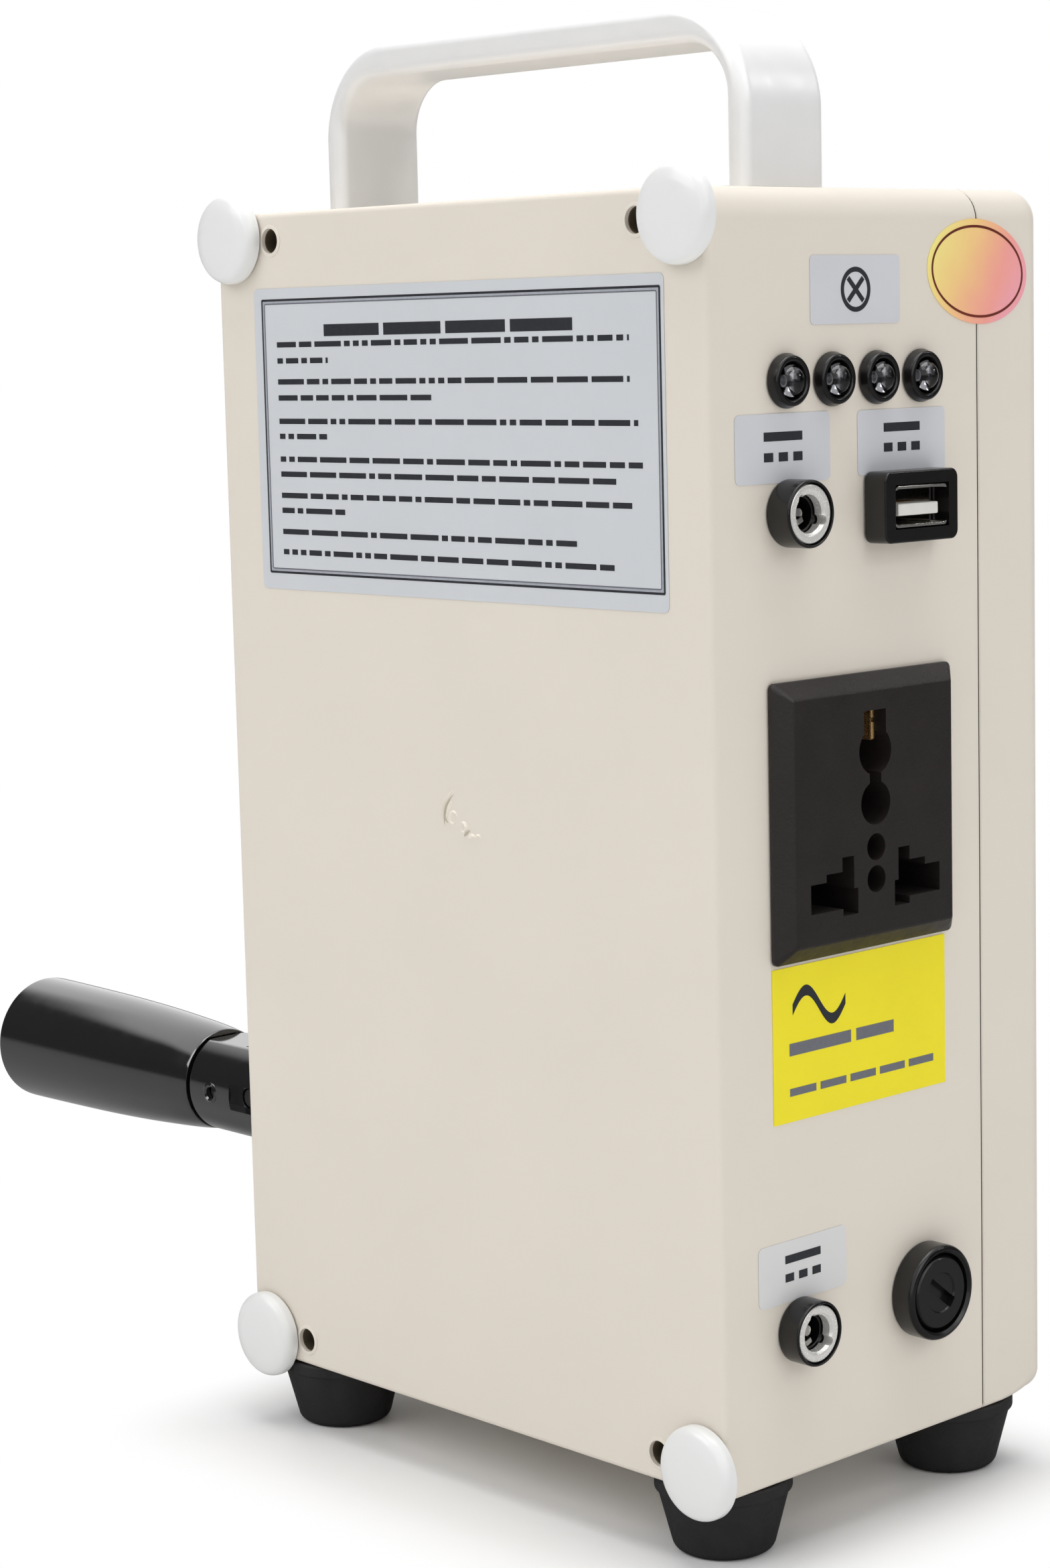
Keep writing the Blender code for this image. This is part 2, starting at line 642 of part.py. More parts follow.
for number, x in enumerate((bolt_inset, CASE_W - bolt_inset), 1):
    seat = case(x, HANDLE_Y, CASE_H - WALL - GAP)
    length = WALL + GAP * 2 + HANDLE_BOLT_GRIP
    turned(f"handle_bolt_{number}",
           [(0, length), (HANDLE_BOLT_R, length), (HANDLE_BOLT_R, 0), (HANDLE_BOLT_HEAD_R, 0),
            (HANDLE_BOLT_HEAD_R, -HANDLE_BOLT_HEAD_H), (0, -HANDLE_BOLT_HEAD_H)],
           seat, UP, "steel", COARSE)
    bore = rod(f"handle_bore_{number}", HANDLE_BOLT_R + GAP, length + OVERRUN * 2,
               seat - UP * OVERRUN, UP, None, COARSE)
    cut(carry_handle, bore)
    cut(rear_shell, bore)

# Lamps
for number in range(1, LED_COUNT + 1):
    face = case(CASE_W, LED_FIRST_Y + LED_PITCH * (number - 1), LED_Z)
    bore_r = LED_R + GAP
    crown = [(LED_BEZEL_R * r, LED_BEZEL_PROUD * h) for r, h in LED_BEZEL_SHARES]
    turned(f"led_bezel_{number}",
           [(LED_DISH_R, LED_BEZEL_PROUD)] + crown
           + [(LED_BEZEL_R, GAP), (LED_BARREL_R, GAP), (LED_BARREL_R, -LED_BARREL_IN),
              (bore_r, -LED_BARREL_IN), (bore_r, LED_BEZEL_PROUD - LED_DISH_DEPTH)],
           face, RIGHT, "black_plastic", 16, closed=True)
    dome = arc(0, LED_TIP - LED_R, LED_R, 90, 0, 4)[1:]
    turned(f"led_lamp_{number}", [(0, LED_TIP)] + dome + [(LED_R, -LED_TAIL), (0, -LED_TAIL)],
           face, RIGHT, "clear_plastic", 16)
    cut(rear_shell, rod(f"led_hole_{number}", LED_BARREL_R + GAP, WALL + OVERRUN * 2,
                        face + RIGHT * OVERRUN, LEFT, None, 16))


def round_jack(name, y, z, proud):
    """A proud round jack: a black body with a centre pin, and a bright ring let into its face."""
    face = case(CASE_W, y, z)
    seat_r = JACK_RING_R + GAP
    seat = proud - JACK_RING_T - GAP
    floor = proud - JACK_BORE_DEPTH
    turned(name,
           [(0, seat - OVERRUN), (JACK_PIN_R, seat - OVERRUN), (JACK_PIN_R, floor), (JACK_BORE_R, floor),
            (JACK_BORE_R, seat), (seat_r, seat), (seat_r, proud), (JACK_R - JACK_EDGE / 2, proud),
            (JACK_R, proud - JACK_EDGE), (JACK_R, GAP), (JACK_BARREL_R, GAP),
            (JACK_BARREL_R, -JACK_BARREL_IN), (0, -JACK_BARREL_IN)],
           face, RIGHT, "black_plastic")
    front = proud - GAP
    turned(name + "_ring",
           [(JACK_BORE_R + GAP + JACK_RING_BEVEL, front), (JACK_RING_R, front), (JACK_RING_R, seat + GAP),
            (JACK_BORE_R + GAP, seat + GAP), (JACK_BORE_R + GAP, front - JACK_RING_BEVEL)],
           face, RIGHT, "nickel", closed=True)
    cut(rear_shell, rod(name + "_hole", JACK_BARREL_R + GAP, WALL + OVERRUN * 2,
                        face + RIGHT * OVERRUN, LEFT, None, 16))


round_jack("output_jack", OUTPUT_JACK_Y, OUTPUT_JACK_Z, OUTPUT_JACK_PROUD)
round_jack("charge_jack", CHARGE_JACK_Y, CHARGE_JACK_Z, CHARGE_JACK_PROUD)

# USB outlet
usb_housing = flat("usb_housing", [rounded_rectangle(USB_W, USB_H, USB_CORNER_R)], USB_PROUD - GAP,
                   "black_plastic", case(CASE_W + (USB_PROUD + GAP) / 2, USB_Y, USB_Z), FRONT, UP)
join(usb_housing, block("usb_neck", (CASE_W - USB_NECK_IN, USB_Y - USB_NECK_W / 2, USB_Z - USB_NECK_H / 2),
                        (CASE_W + GAP + SINK, USB_Y + USB_NECK_W / 2, USB_Z + USB_NECK_H / 2), None))
cut(usb_housing, block("usb_bore",
                       (CASE_W - USB_NECK_IN - OVERRUN, USB_Y - USB_SHIELD_W / 2 - GAP,
                        USB_Z - USB_SHIELD_H / 2 - GAP),
                       (CASE_W + USB_PROUD + OVERRUN, USB_Y + USB_SHIELD_W / 2 + GAP,
                        USB_Z + USB_SHIELD_H / 2 + GAP), None))
cut(rear_shell, block("usb_hole",
                      (CASE_W - WALL - OVERRUN, USB_Y - USB_NECK_W / 2 - GAP, USB_Z - USB_NECK_H / 2 - GAP),
                      (CASE_W + OVERRUN, USB_Y + USB_NECK_W / 2 + GAP, USB_Z + USB_NECK_H / 2 + GAP), None))
shield_l = USB_PROUD - GAP + USB_NECK_IN
usb_in_w = USB_SHIELD_W - USB_SHIELD_T * 2
usb_in_h = USB_SHIELD_H - USB_SHIELD_T * 2
flat("usb_shield",
     [rounded_rectangle(USB_SHIELD_W, USB_SHIELD_H, USB_SHIELD_OUTER_R, 2),
      rounded_rectangle(usb_in_w, usb_in_h, USB_SHIELD_INNER_R, 2)],
     shield_l, "nickel", case(CASE_W - USB_NECK_IN + shield_l / 2, USB_Y, USB_Z), FRONT, UP)
tongue_z = USB_Z - USB_TONGUE_DROP
block_in_x = CASE_W - USB_NECK_IN + GAP
usb_tongue = block("usb_tongue", (block_in_x, USB_Y - usb_in_w / 2 + GAP, USB_Z - usb_in_h / 2 + GAP),
                   (block_in_x + USB_BLOCK_L, USB_Y + usb_in_w / 2 - GAP, USB_Z + usb_in_h / 2 - GAP),
                   "white_plastic")
join(usb_tongue, block("usb_tongue_blade",
                       (block_in_x + USB_BLOCK_L / 2, USB_Y - USB_TONGUE_W / 2,
                        tongue_z - USB_TONGUE_T / 2),
                       (CASE_W + USB_PROUD - USB_TONGUE_SETBACK, USB_Y + USB_TONGUE_W / 2,
                        tongue_z + USB_TONGUE_T / 2), None))

# Mains socket
AC_FACE_X = CASE_W + AC_PROUD
ac_socket_face = block("ac_socket_face", (CASE_W + GAP, AC_Y - AC_W / 2, AC_Z - AC_H / 2),
                       (AC_FACE_X, AC_Y + AC_W / 2, AC_Z + AC_H / 2), "black_plastic")
plate = bmesh.new()
plate.from_mesh(ac_socket_face.data)
bmesh.ops.bisect_plane(plate, geom=plate.verts[:] + plate.edges[:] + plate.faces[:],
                       plane_co=(AC_RIM - (AC_PROUD - GAP) / 2, 0, 0), plane_no=(1, 0, 0))
for vert in plate.verts:
    if vert.co.x > (AC_PROUD - GAP) / 2 - MERGE:
        vert.co.y -= math.copysign(AC_CHAMFER, vert.co.y)
        vert.co.z -= math.copysign(AC_CHAMFER, vert.co.z)
plate.to_mesh(ac_socket_face.data)
plate.free()
join(ac_socket_face, block("ac_block", (CASE_W - AC_BLOCK_IN, AC_Y - AC_BLOCK_W / 2, AC_Z - AC_BLOCK_H / 2),
                           (CASE_W + GAP + SINK, AC_Y + AC_BLOCK_W / 2, AC_Z + AC_BLOCK_H / 2), None))
cut(rear_shell, block("ac_hole",
                      (CASE_W - WALL - OVERRUN, AC_Y - AC_BLOCK_W / 2 - GAP, AC_Z - AC_BLOCK_H / 2 - GAP),
                      (CASE_W + OVERRUN, AC_Y + AC_BLOCK_W / 2 + GAP, AC_Z + AC_BLOCK_H / 2 + GAP), None))
slot_floor_x = AC_FACE_X - AC_SLOT_DEPTH


def socket_box(name, y0, y1, z0, z1):
    return block(name, (slot_floor_x, AC_Y + y0, AC_Z + z0),
                 (AC_FACE_X + OVERRUN, AC_Y + y1, AC_Z + z1), None)


def socket_round(name, radius, rise):
    return rod(name, radius, AC_SLOT_DEPTH + OVERRUN, case(AC_FACE_X + OVERRUN, AC_Y, AC_Z + rise),
               LEFT, None, 20)


cut(ac_socket_face,
    socket_box("earth_notch", -AC_NOTCH_W / 2, AC_NOTCH_W / 2, AC_BIG_RISE, AC_NOTCH_TOP),
    socket_round("earth_round", AC_BIG_R, AC_BIG_RISE),
    socket_box("earth_neck", -AC_NECK_W / 2, AC_NECK_W / 2, AC_OVAL_RISE, AC_BIG_RISE),
    socket_round("earth_oval", AC_OVAL_R, AC_OVAL_RISE))
for number, drop in enumerate(AC_SMALL_DROPS, 1):
    cut(ac_socket_face, socket_round(f"small_round_{number}", AC_SMALL_R, -drop))
slot_outline = [(u * AC_W, v * AC_H) for u, v in AC_BLADE_SLOT_SHARES]
slot_mid = case((slot_floor_x + AC_FACE_X + OVERRUN) / 2, AC_Y, AC_Z)
cut(ac_socket_face,
    flat("blade_slot_left", [slot_outline], AC_SLOT_DEPTH + OVERRUN, None, slot_mid, FRONT, UP),
    flat("blade_slot_right", [[(-u, v) for u, v in slot_outline]], AC_SLOT_DEPTH + OVERRUN, None, slot_mid,
         FRONT, UP))
contact_x0 = slot_floor_x + GAP
earth_y0 = AC_Y - AC_NOTCH_W / 2 + GAP
block("ac_contact", (contact_x0, earth_y0, AC_Z + AC_NOTCH_TOP - GAP - AC_EARTH_W),
      (contact_x0 + AC_CONTACT_L, earth_y0 + AC_CONTACT_T, AC_Z + AC_NOTCH_TOP - GAP), "brass")

# Fuse holder with a slotted quarter-turn cap, whose carrier holds the fuse
fuse_face = case(CASE_W, FUSE_Y, FUSE_Z)
cap_front = FUSE_PROUD - FUSE_CAP_SETBACK
cap_back = cap_front - FUSE_CAP_T
fuse_bore_r = FUSE_TUBE_R + GAP
turned("fuse_holder",
       [(0, cap_back - GAP - FUSE_TUBE_L), (fuse_bore_r, cap_back - GAP - FUSE_TUBE_L),
        (fuse_bore_r, cap_back - GAP), (FUSE_CAP_R + GAP, cap_back - GAP), (FUSE_CAP_R + GAP, FUSE_PROUD)]
       + arc(FUSE_R - FUSE_EDGE_R, FUSE_PROUD - FUSE_EDGE_R, FUSE_EDGE_R, 90, 0, 3)
       + [(FUSE_R, GAP), (FUSE_BARREL_R, GAP), (FUSE_BARREL_R, -FUSE_BARREL_IN), (0, -FUSE_BARREL_IN)],
       fuse_face, RIGHT, "black_plastic", FINE)
fuse_cap = turned("fuse_cap",
                  [(0, cap_front), (FUSE_CAP_R - SINK / 2, cap_front), (FUSE_CAP_R, cap_front - SINK / 2),
                   (FUSE_CAP_R, cap_back), (0, cap_back)], fuse_face, RIGHT, "black_plastic", FINE)
fuse_slot = flat("fuse_slot", [rounded_rectangle(FUSE_SLOT_L, FUSE_SLOT_W, FUSE_SLOT_W / 4, 2)],
                 FUSE_SLOT_DEPTH + OVERRUN, None,
                 fuse_face + RIGHT * (cap_front + (OVERRUN - FUSE_SLOT_DEPTH) / 2),
                 Vector((0, math.cos(FUSE_SLOT_ANGLE), math.sin(FUSE_SLOT_ANGLE))),
                 Vector((0, -math.sin(FUSE_SLOT_ANGLE), math.cos(FUSE_SLOT_ANGLE))))
cut(fuse_cap, fuse_slot)
join(fuse_cap, rod("fuse_carrier", FUSE_TUBE_R, FUSE_TUBE_L + SINK,
                   fuse_face + RIGHT * (cap_back + SINK), LEFT, None, COARSE))
cut(rear_shell, rod("fuse_hole", FUSE_BARREL_R + GAP, WALL + OVERRUN * 2, fuse_face + RIGHT * OVERRUN,
                    LEFT, None))

# Top panel
meter_panel = block("meter_panel", (METER_X - METER_W / 2, TOP_ROW_Y - METER_D / 2, CASE_H + GAP),
                    (METER_X + METER_W / 2, TOP_ROW_Y + METER_D / 2, CASE_H + GAP + METER_PROUD),
                    "black_plastic")
meter_low = (METER_X - METER_W / 2 + METER_RIM, TOP_ROW_Y - METER_D / 2 + METER_RIM, CASE_H - METER_BODY_IN)
meter_high = (METER_X + METER_W / 2 - METER_RIM, TOP_ROW_Y + METER_D / 2 - METER_RIM,
              CASE_H + GAP + METER_PROUD / 2)
join(meter_panel, block("meter_body", meter_low, meter_high, None))
cut(rear_shell, block("meter_hole", (meter_low[0] - GAP, meter_low[1] - GAP, CASE_H - WALL - OVERRUN),
                      (meter_high[0] + GAP, meter_high[1] + GAP, CASE_H + OVERRUN), None))
lens = case(INDICATOR_X, TOP_ROW_Y, CASE_H)
lens_rim_r = INDICATOR_R + SINK
turned("charge_indicator",
       [(0, INDICATOR_PROUD + GAP)] + arc(lens_rim_r - SINK, INDICATOR_PROUD + GAP - SINK, SINK, 90, 0, 3)
       + [(lens_rim_r, GAP), (INDICATOR_R, GAP), (INDICATOR_R, -INDICATOR_IN), (0, -INDICATOR_IN)],
       lens, UP, "clear_plastic", COARSE)
cut(rear_shell, rod("indicator_hole", INDICATOR_R + GAP, WALL + OVERRUN * 2, lens + UP * OVERRUN,
                    DOWN, None, COARSE))
for number in range(1, SWITCH_COUNT + 1):
    seat = case(SWITCH_FIRST_X + SWITCH_PITCH * (number - 1), TOP_ROW_Y, CASE_H)
    rim_top = GAP + SWITCH_RIM_H
    well_r = SWITCH_BUTTON_R + GAP
    turned(f"switch_body_{number}",
           [(0, SWITCH_FLOOR - SWITCH_BARREL_IN), (well_r, SWITCH_FLOOR - SWITCH_BARREL_IN),
            (well_r, rim_top), (SWITCH_RIM_R - SWITCH_EDGE_R, rim_top),
            (SWITCH_RIM_R, rim_top - SWITCH_EDGE_R), (SWITCH_RIM_R, GAP), (SWITCH_BARREL_R, GAP),
            (SWITCH_BARREL_R, -SWITCH_BARREL_IN), (0, -SWITCH_BARREL_IN)],
           seat, UP, "black_plastic", 16)
    button_top = rim_top + SWITCH_BUTTON_PROUD
    turned(f"switch_button_{number}",
           [(0, button_top)] + arc(SWITCH_BUTTON_R - SWITCH_EDGE_R, button_top - SWITCH_EDGE_R,
                                   SWITCH_EDGE_R, 90, 0, 2)
           + [(SWITCH_BUTTON_R, -SWITCH_BUTTON_IN), (0, -SWITCH_BUTTON_IN)], seat, UP, "gloss_black", 16)
    cut(rear_shell, rod(f"switch_hole_{number}", SWITCH_BARREL_R + GAP * 2, WALL + OVERRUN * 2,
                        seat + UP * OVERRUN, DOWN, None, 16))

# Crank bearing in the left wall
shaft_axis = case(0, CRANK_Y, SHAFT_Z)
bearing_in = FRAME_IN_X + FRAME_T
turned("shaft_bearing",
       [(SHAFT_R + GAP, BEARING_FLANGE_T), (BEARING_FLANGE_R - SINK, BEARING_FLANGE_T),
        (BEARING_FLANGE_R, BEARING_FLANGE_T - SINK), (BEARING_FLANGE_R, GAP), (BEARING_R, GAP),
        (BEARING_R, -bearing_in), (SHAFT_R + GAP, -bearing_in)],
       shaft_axis, LEFT, "steel", closed=True)
bearing_hole = rod("bearing_hole", BEARING_R + GAP, bearing_in + OVERRUN * 2,
                   shaft_axis + LEFT * OVERRUN, RIGHT, None)
cut(rear_shell, bearing_hole)

# Shaft, arm and cap nut
shaft_l = FRAME_OUT_X + GAP
nut_out = -ARM_OUT_X + GAP + NUT_H
turned("crank_shaft",
       [(0, nut_out - GAP * 2), (SHAFT_TIP_R, nut_out - GAP * 2), (SHAFT_TIP_R, -ARM_OUT_X - SINK),
        (SHAFT_R, -ARM_OUT_X - SINK), (SHAFT_R, -shaft_l), (0, -shaft_l)],
       shaft_axis, LEFT, "steel", 24)
half_w = ARM_W / 2
arm_outline = arc(0, 0, half_w, 0, 180, 14) + arc(0, -CRANK_THROW, half_w, 180, 360, 14)
crank_arm = flat("crank_arm", [arm_outline, circle(SHAFT_R + GAP, 24)], ARM_T, "black_steel",
                 case((ARM_IN_X + ARM_OUT_X) / 2, CRANK_Y, SHAFT_Z), FRONT, UP)
lug_outline = arc(-PIVOT_REACH, 0, LUG_R, 90, 270, 10) + [(ARM_T / 2, -LUG_R), (ARM_T / 2, LUG_R)]
crank_lug = flat("crank_lug", [lug_outline], LUG_T, None, case(ARM_OUT_X, CRANK_Y, GRIP_Z), RIGHT, UP)
join(crank_arm, crank_lug)
nut_base = -ARM_OUT_X + GAP
crank_nut = rod("crank_nut", NUT_FLATS_R, NUT_H, shaft_axis + LEFT * nut_base, LEFT, "steel", 6)
dome_outline = [(NUT_DOME_R * u, NUT_H + NUT_DOME_H * v) for u, v in arc(0, 0, 1, 90, 0, 4)]
join(crank_nut, turned("nut_dome", [(0, NUT_H + NUT_DOME_H)] + dome_outline[1:]
                       + [(NUT_DOME_R, NUT_H - SINK), (0, NUT_H - SINK)],
                       shaft_axis + LEFT * nut_base, LEFT, None, 24))
cut(crank_nut, rod("nut_bore", SHAFT_TIP_R + GAP, NUT_H + OVERRUN,
                   shaft_axis + LEFT * (nut_base - OVERRUN), LEFT, None, 24))

# Fold pin, knuckle, spindle and grip
pivot = case(PIVOT_X, CRANK_Y, GRIP_Z)
cheek_y = math.sqrt(KNUCKLE_R ** 2 - (POCKET_H / 2) ** 2) - POCKET_DEPTH
rod("pivot_pin", PIVOT_PIN_R, (cheek_y - GAP) * 2, pivot + REAR * (cheek_y - GAP), FRONT, "steel", COARSE)
pivot_bore = rod("pivot_bore", PIVOT_PIN_R + GAP, KNUCKLE_R * 2 + OVERRUN * 2,
                 pivot + REAR * (KNUCKLE_R + OVERRUN), FRONT, None, COARSE)
cut(crank_arm, pivot_bore)
grip_knuckle = turned("grip_knuckle",
                      [(0, KNUCKLE_OUT), (KNUCKLE_R - KNUCKLE_END_EDGE, KNUCKLE_OUT),
                       (KNUCKLE_R, KNUCKLE_OUT - KNUCKLE_END_EDGE), (KNUCKLE_R, -KNUCKLE_IN),
                       (0, -KNUCKLE_IN)],
                      pivot, LEFT, "gloss_black", FINE)
slot_out = LUG_R + GAP * 2
knuckle_top = block("knuckle_top_cut",
                    (KNUCKLE_END_X - OVERRUN, CRANK_Y - KNUCKLE_R - OVERRUN, GRIP_Z + KNUCKLE_FLAT),
                    (PIVOT_X + KNUCKLE_IN + OVERRUN, CRANK_Y + KNUCKLE_R + OVERRUN,
                     GRIP_Z + KNUCKLE_R + OVERRUN), None)
knuckle_slot = block("knuckle_slot_cut",
                     (PIVOT_X - slot_out, CRANK_Y - LUG_T / 2 - GAP, GRIP_Z - slot_out),
                     (PIVOT_X + KNUCKLE_IN + OVERRUN, CRANK_Y + LUG_T / 2 + GAP, GRIP_Z + KNUCKLE_R), None)
cut(grip_knuckle, knuckle_top, knuckle_slot)
pocket_x0 = PIVOT_X - POCKET_L / 2
for side, name in ((-1, "rear"), (1, "front")):
    near = CRANK_Y + side * cheek_y
    far = CRANK_Y + side * (KNUCKLE_R + OVERRUN)
    cut(grip_knuckle, block(name + "_pocket_cut", (pocket_x0, min(near, far), GRIP_Z - POCKET_H / 2),
                            (pocket_x0 + POCKET_L, max(near, far), GRIP_Z + POCKET_H / 2), None))
cut(grip_knuckle, pivot_bore)
spindle_in = slot_out + SPINDLE_WALL
cut(grip_knuckle, rod("spindle_bore", SPINDLE_R + GAP, KNUCKLE_OUT - spindle_in + OVERRUN,
                      pivot + LEFT * spindle_in, LEFT, None, 24))
grip_l = KNUCKLE_OUT + GRIP_GAP + GRIP_L
head_recess = SPINDLE_HEAD_H + GAP * 3
spindle_end = grip_l - GAP
grip_spindle = turned("grip_spindle",
                      [(0, spindle_end), (SPINDLE_HEAD_R - SINK, spindle_end),
                       (SPINDLE_HEAD_R, spindle_end - SINK),
                       (SPINDLE_HEAD_R, spindle_end - SPINDLE_HEAD_H),
                       (SPINDLE_R, spindle_end - SPINDLE_HEAD_H), (SPINDLE_R, spindle_in + GAP),
                       (0, spindle_in + GAP)], pivot, LEFT, "steel", 24)
pin_at = pivot + LEFT * SPINDLE_PIN_REACH
spindle_pin_l = (KNUCKLE_R - SPINDLE_PIN_SUNK) * 2
rod("spindle_pin", SPINDLE_PIN_R, spindle_pin_l, pin_at + REAR * spindle_pin_l / 2, FRONT, "steel", 16)
pin_bore = rod("spindle_pin_bore", SPINDLE_PIN_R + GAP, KNUCKLE_R * 2 + OVERRUN * 2,
               pin_at + REAR * (KNUCKLE_R + OVERRUN), FRONT, None, 16)
cut(grip_knuckle, pin_bore)
cut(grip_spindle, pin_bore)
grip_start = KNUCKLE_OUT + GRIP_GAP
outer = [(r * GRIP_MAX_R, grip_start + h * GRIP_L) for h, r in reversed(GRIP_PROFILE_SHARES)]
recess_r = SPINDLE_HEAD_R + GAP
turned("crank_grip",
       [(recess_r, grip_l)] + outer
       + [(SPINDLE_R + GAP, grip_start), (SPINDLE_R + GAP, grip_l - head_recess),
          (recess_r, grip_l - head_recess)],
       pivot, LEFT, "gloss_black", FINE, closed=True)

# Gear frame: two plates joined by a web, against the left wall
frame_y0 = CRANK_Y - WHEEL_TIP_R + FRAME_MARGIN
frame_y1 = GENERATOR_Y + AXLE_R + FRAME_MARGIN * 3
frame_z0 = SHAFT_Z - WHEEL_TIP_R - FRAME_MARGIN - FRAME_T
frame_z1 = IDLER_Z + AXLE_R + FRAME_MARGIN * 3
gearbox_frame = block("gearbox_frame", (FRAME_IN_X, frame_y0, frame_z0),
                      (FRAME_OUT_X, frame_y1, frame_z1), "steel")
cut(gearbox_frame, block("gear_space", (FRAME_IN_X + FRAME_T, frame_y0 - OVERRUN, frame_z0 + FRAME_T),
                         (FRAME_OUT_X - FRAME_T, frame_y1 + OVERRUN, frame_z1 + OVERRUN), None))
cut(gearbox_frame, bearing_hole)
through = FRAME_OUT_X + OVERRUN * 2
cut(gearbox_frame,
    rod("shaft_end_hole", SHAFT_R + GAP, FRAME_T + OVERRUN * 2,
        case(FRAME_OUT_X - FRAME_T - OVERRUN, CRANK_Y, SHAFT_Z), RIGHT, None, 24),
    rod("idler_hole", AXLE_R + GAP, through, case(FRAME_IN_X - OVERRUN, CRANK_Y, IDLER_Z),
        RIGHT, None, COARSE),
    rod("rotor_hole", AXLE_R + GAP, FRAME_T + OVERRUN * 2,
        case(FRAME_OUT_X - FRAME_T - OVERRUN, GENERATOR_Y, IDLER_Z), RIGHT, None, COARSE))

# Gears. A tooth of each wheel points at the next axle, and a gap of the pinion faces it.
half_tooth = 180 / PINION_TEETH
flat("drive_gear", [gear_outline(WHEEL_TEETH, 90), circle(SHAFT_R + GAP, 24)], GEAR_T, "nylon",
     case(LAYER_1_X + GEAR_T / 2, CRANK_Y, SHAFT_Z), FRONT, UP)
idler_gear = flat("idler_gear", [gear_outline(WHEEL_TEETH, 0)], GEAR_T, "nylon",
                  case(LAYER_2_X + GEAR_T / 2, CRANK_Y, IDLER_Z), FRONT, UP)
join(idler_gear, flat("idler_pinion", [gear_outline(PINION_TEETH, -90 + half_tooth)],
                      GEAR_T + GEAR_LAYER_GAP + SINK, None,
                      case(LAYER_1_X + (GEAR_T + GEAR_LAYER_GAP + SINK) / 2, CRANK_Y, IDLER_Z), FRONT, UP))
join(idler_gear, rod("idler_axle", AXLE_R, FRAME_OUT_X - FRAME_IN_X - GAP,
                     case(FRAME_IN_X + GAP, CRANK_Y, IDLER_Z), RIGHT, None, COARSE))
generator_pinion = flat("generator_pinion", [gear_outline(PINION_TEETH, 180 + half_tooth)], GEAR_T, "steel",
                        case(LAYER_2_X + GEAR_T / 2, GENERATOR_Y, IDLER_Z), FRONT, UP)
join(generator_pinion, rod("rotor_shaft", AXLE_R, FRAME_OUT_X - LAYER_2_X + ROTOR_SHAFT_IN - SINK,
                           case(LAYER_2_X + SINK, GENERATOR_Y, IDLER_Z), RIGHT, None, COARSE))
generator_x0 = FRAME_OUT_X + GAP
generator_edge = arc(GENERATOR_R - GENERATOR_EDGE_R, GENERATOR_L - GENERATOR_EDGE_R,
                     GENERATOR_EDGE_R, 90, 0, 3)
turned("generator_body",
       [(0, GENERATOR_L)] + generator_edge
       + [(GENERATOR_R, 0), (AXLE_R + GAP, 0), (AXLE_R + GAP, ROTOR_SHAFT_IN + OVERRUN),
          (0, ROTOR_SHAFT_IN + OVERRUN)],
       case(generator_x0, GENERATOR_Y, IDLER_Z), RIGHT, "steel")

# Battery on the floor between the bosses
battery_x0 = SCREW_SIDE_INSET + REAR_BOSS_R + BATTERY_SIDE_GAP
block("battery_pack", (battery_x0, BATTERY_Y0, WALL + GAP),
      (BATTERY_RIGHT_X, BATTERY_Y0 + BATTERY_D, WALL + GAP + BATTERY_H), "blue_wrap", BATTERY_EDGE_R)

# Inverter board on posts of the rear wall
post_y = WALL + BOARD_STANDOFF
board_y0 = post_y + GAP
post_places = [(x, z) for x in (BOARD_X0 + BOARD_POST_INSET, BOARD_X0 + BOARD_L - BOARD_POST_INSET)
               for z in (BOARD_Z0 + BOARD_POST_INSET, BOARD_Z0 + BOARD_H - BOARD_POST_INSET)]
for number, (x, z) in enumerate(post_places, 1):
    join(rear_shell, rod(f"board_post_{number}", BOARD_POST_R, post_y - WALL / 2,
                         case(x, WALL / 2, z), FRONT, None, COARSE))
inverter_board = block("inverter_board", (BOARD_X0, board_y0, BOARD_Z0),
                       (BOARD_X0 + BOARD_L, board_y0 + BOARD_T, BOARD_Z0 + BOARD_H), "green_board")
coil_x0 = BOARD_X0 + BOARD_POST_INSET * 2
coil_z0 = BOARD_Z0 + (BOARD_H - TRANSFORMER_H) / 2
join(inverter_board, block("transformer", (coil_x0, board_y0 + BOARD_T / 2, coil_z0),
                           (coil_x0 + TRANSFORMER_L, board_y0 + BOARD_T + TRANSFORMER_D,
                            coil_z0 + TRANSFORMER_H), None))
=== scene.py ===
"""Looks of the hand crank generator: finishes, blank stickers, fine mouldings, light and camera.

Metres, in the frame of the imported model: +Z up, the rear face towards -Y, the sockets towards +X.
"""
import json
import math
import random

import bmesh
import bpy
from mathutils import Matrix, Vector


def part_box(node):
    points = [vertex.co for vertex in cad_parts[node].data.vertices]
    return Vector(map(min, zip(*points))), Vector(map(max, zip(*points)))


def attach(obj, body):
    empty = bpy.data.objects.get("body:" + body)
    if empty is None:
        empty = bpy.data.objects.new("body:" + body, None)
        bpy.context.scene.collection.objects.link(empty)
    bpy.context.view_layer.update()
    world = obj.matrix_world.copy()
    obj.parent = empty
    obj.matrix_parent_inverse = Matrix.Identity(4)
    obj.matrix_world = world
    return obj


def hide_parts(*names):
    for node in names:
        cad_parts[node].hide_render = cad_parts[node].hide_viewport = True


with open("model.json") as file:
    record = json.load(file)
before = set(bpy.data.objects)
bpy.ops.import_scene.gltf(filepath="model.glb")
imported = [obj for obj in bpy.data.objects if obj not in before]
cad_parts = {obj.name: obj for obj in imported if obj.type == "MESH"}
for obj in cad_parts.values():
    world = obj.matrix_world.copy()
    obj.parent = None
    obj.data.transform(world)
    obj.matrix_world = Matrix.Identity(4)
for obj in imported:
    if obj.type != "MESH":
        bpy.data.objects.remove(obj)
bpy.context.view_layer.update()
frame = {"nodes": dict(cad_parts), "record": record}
RECORD = frame["record"]
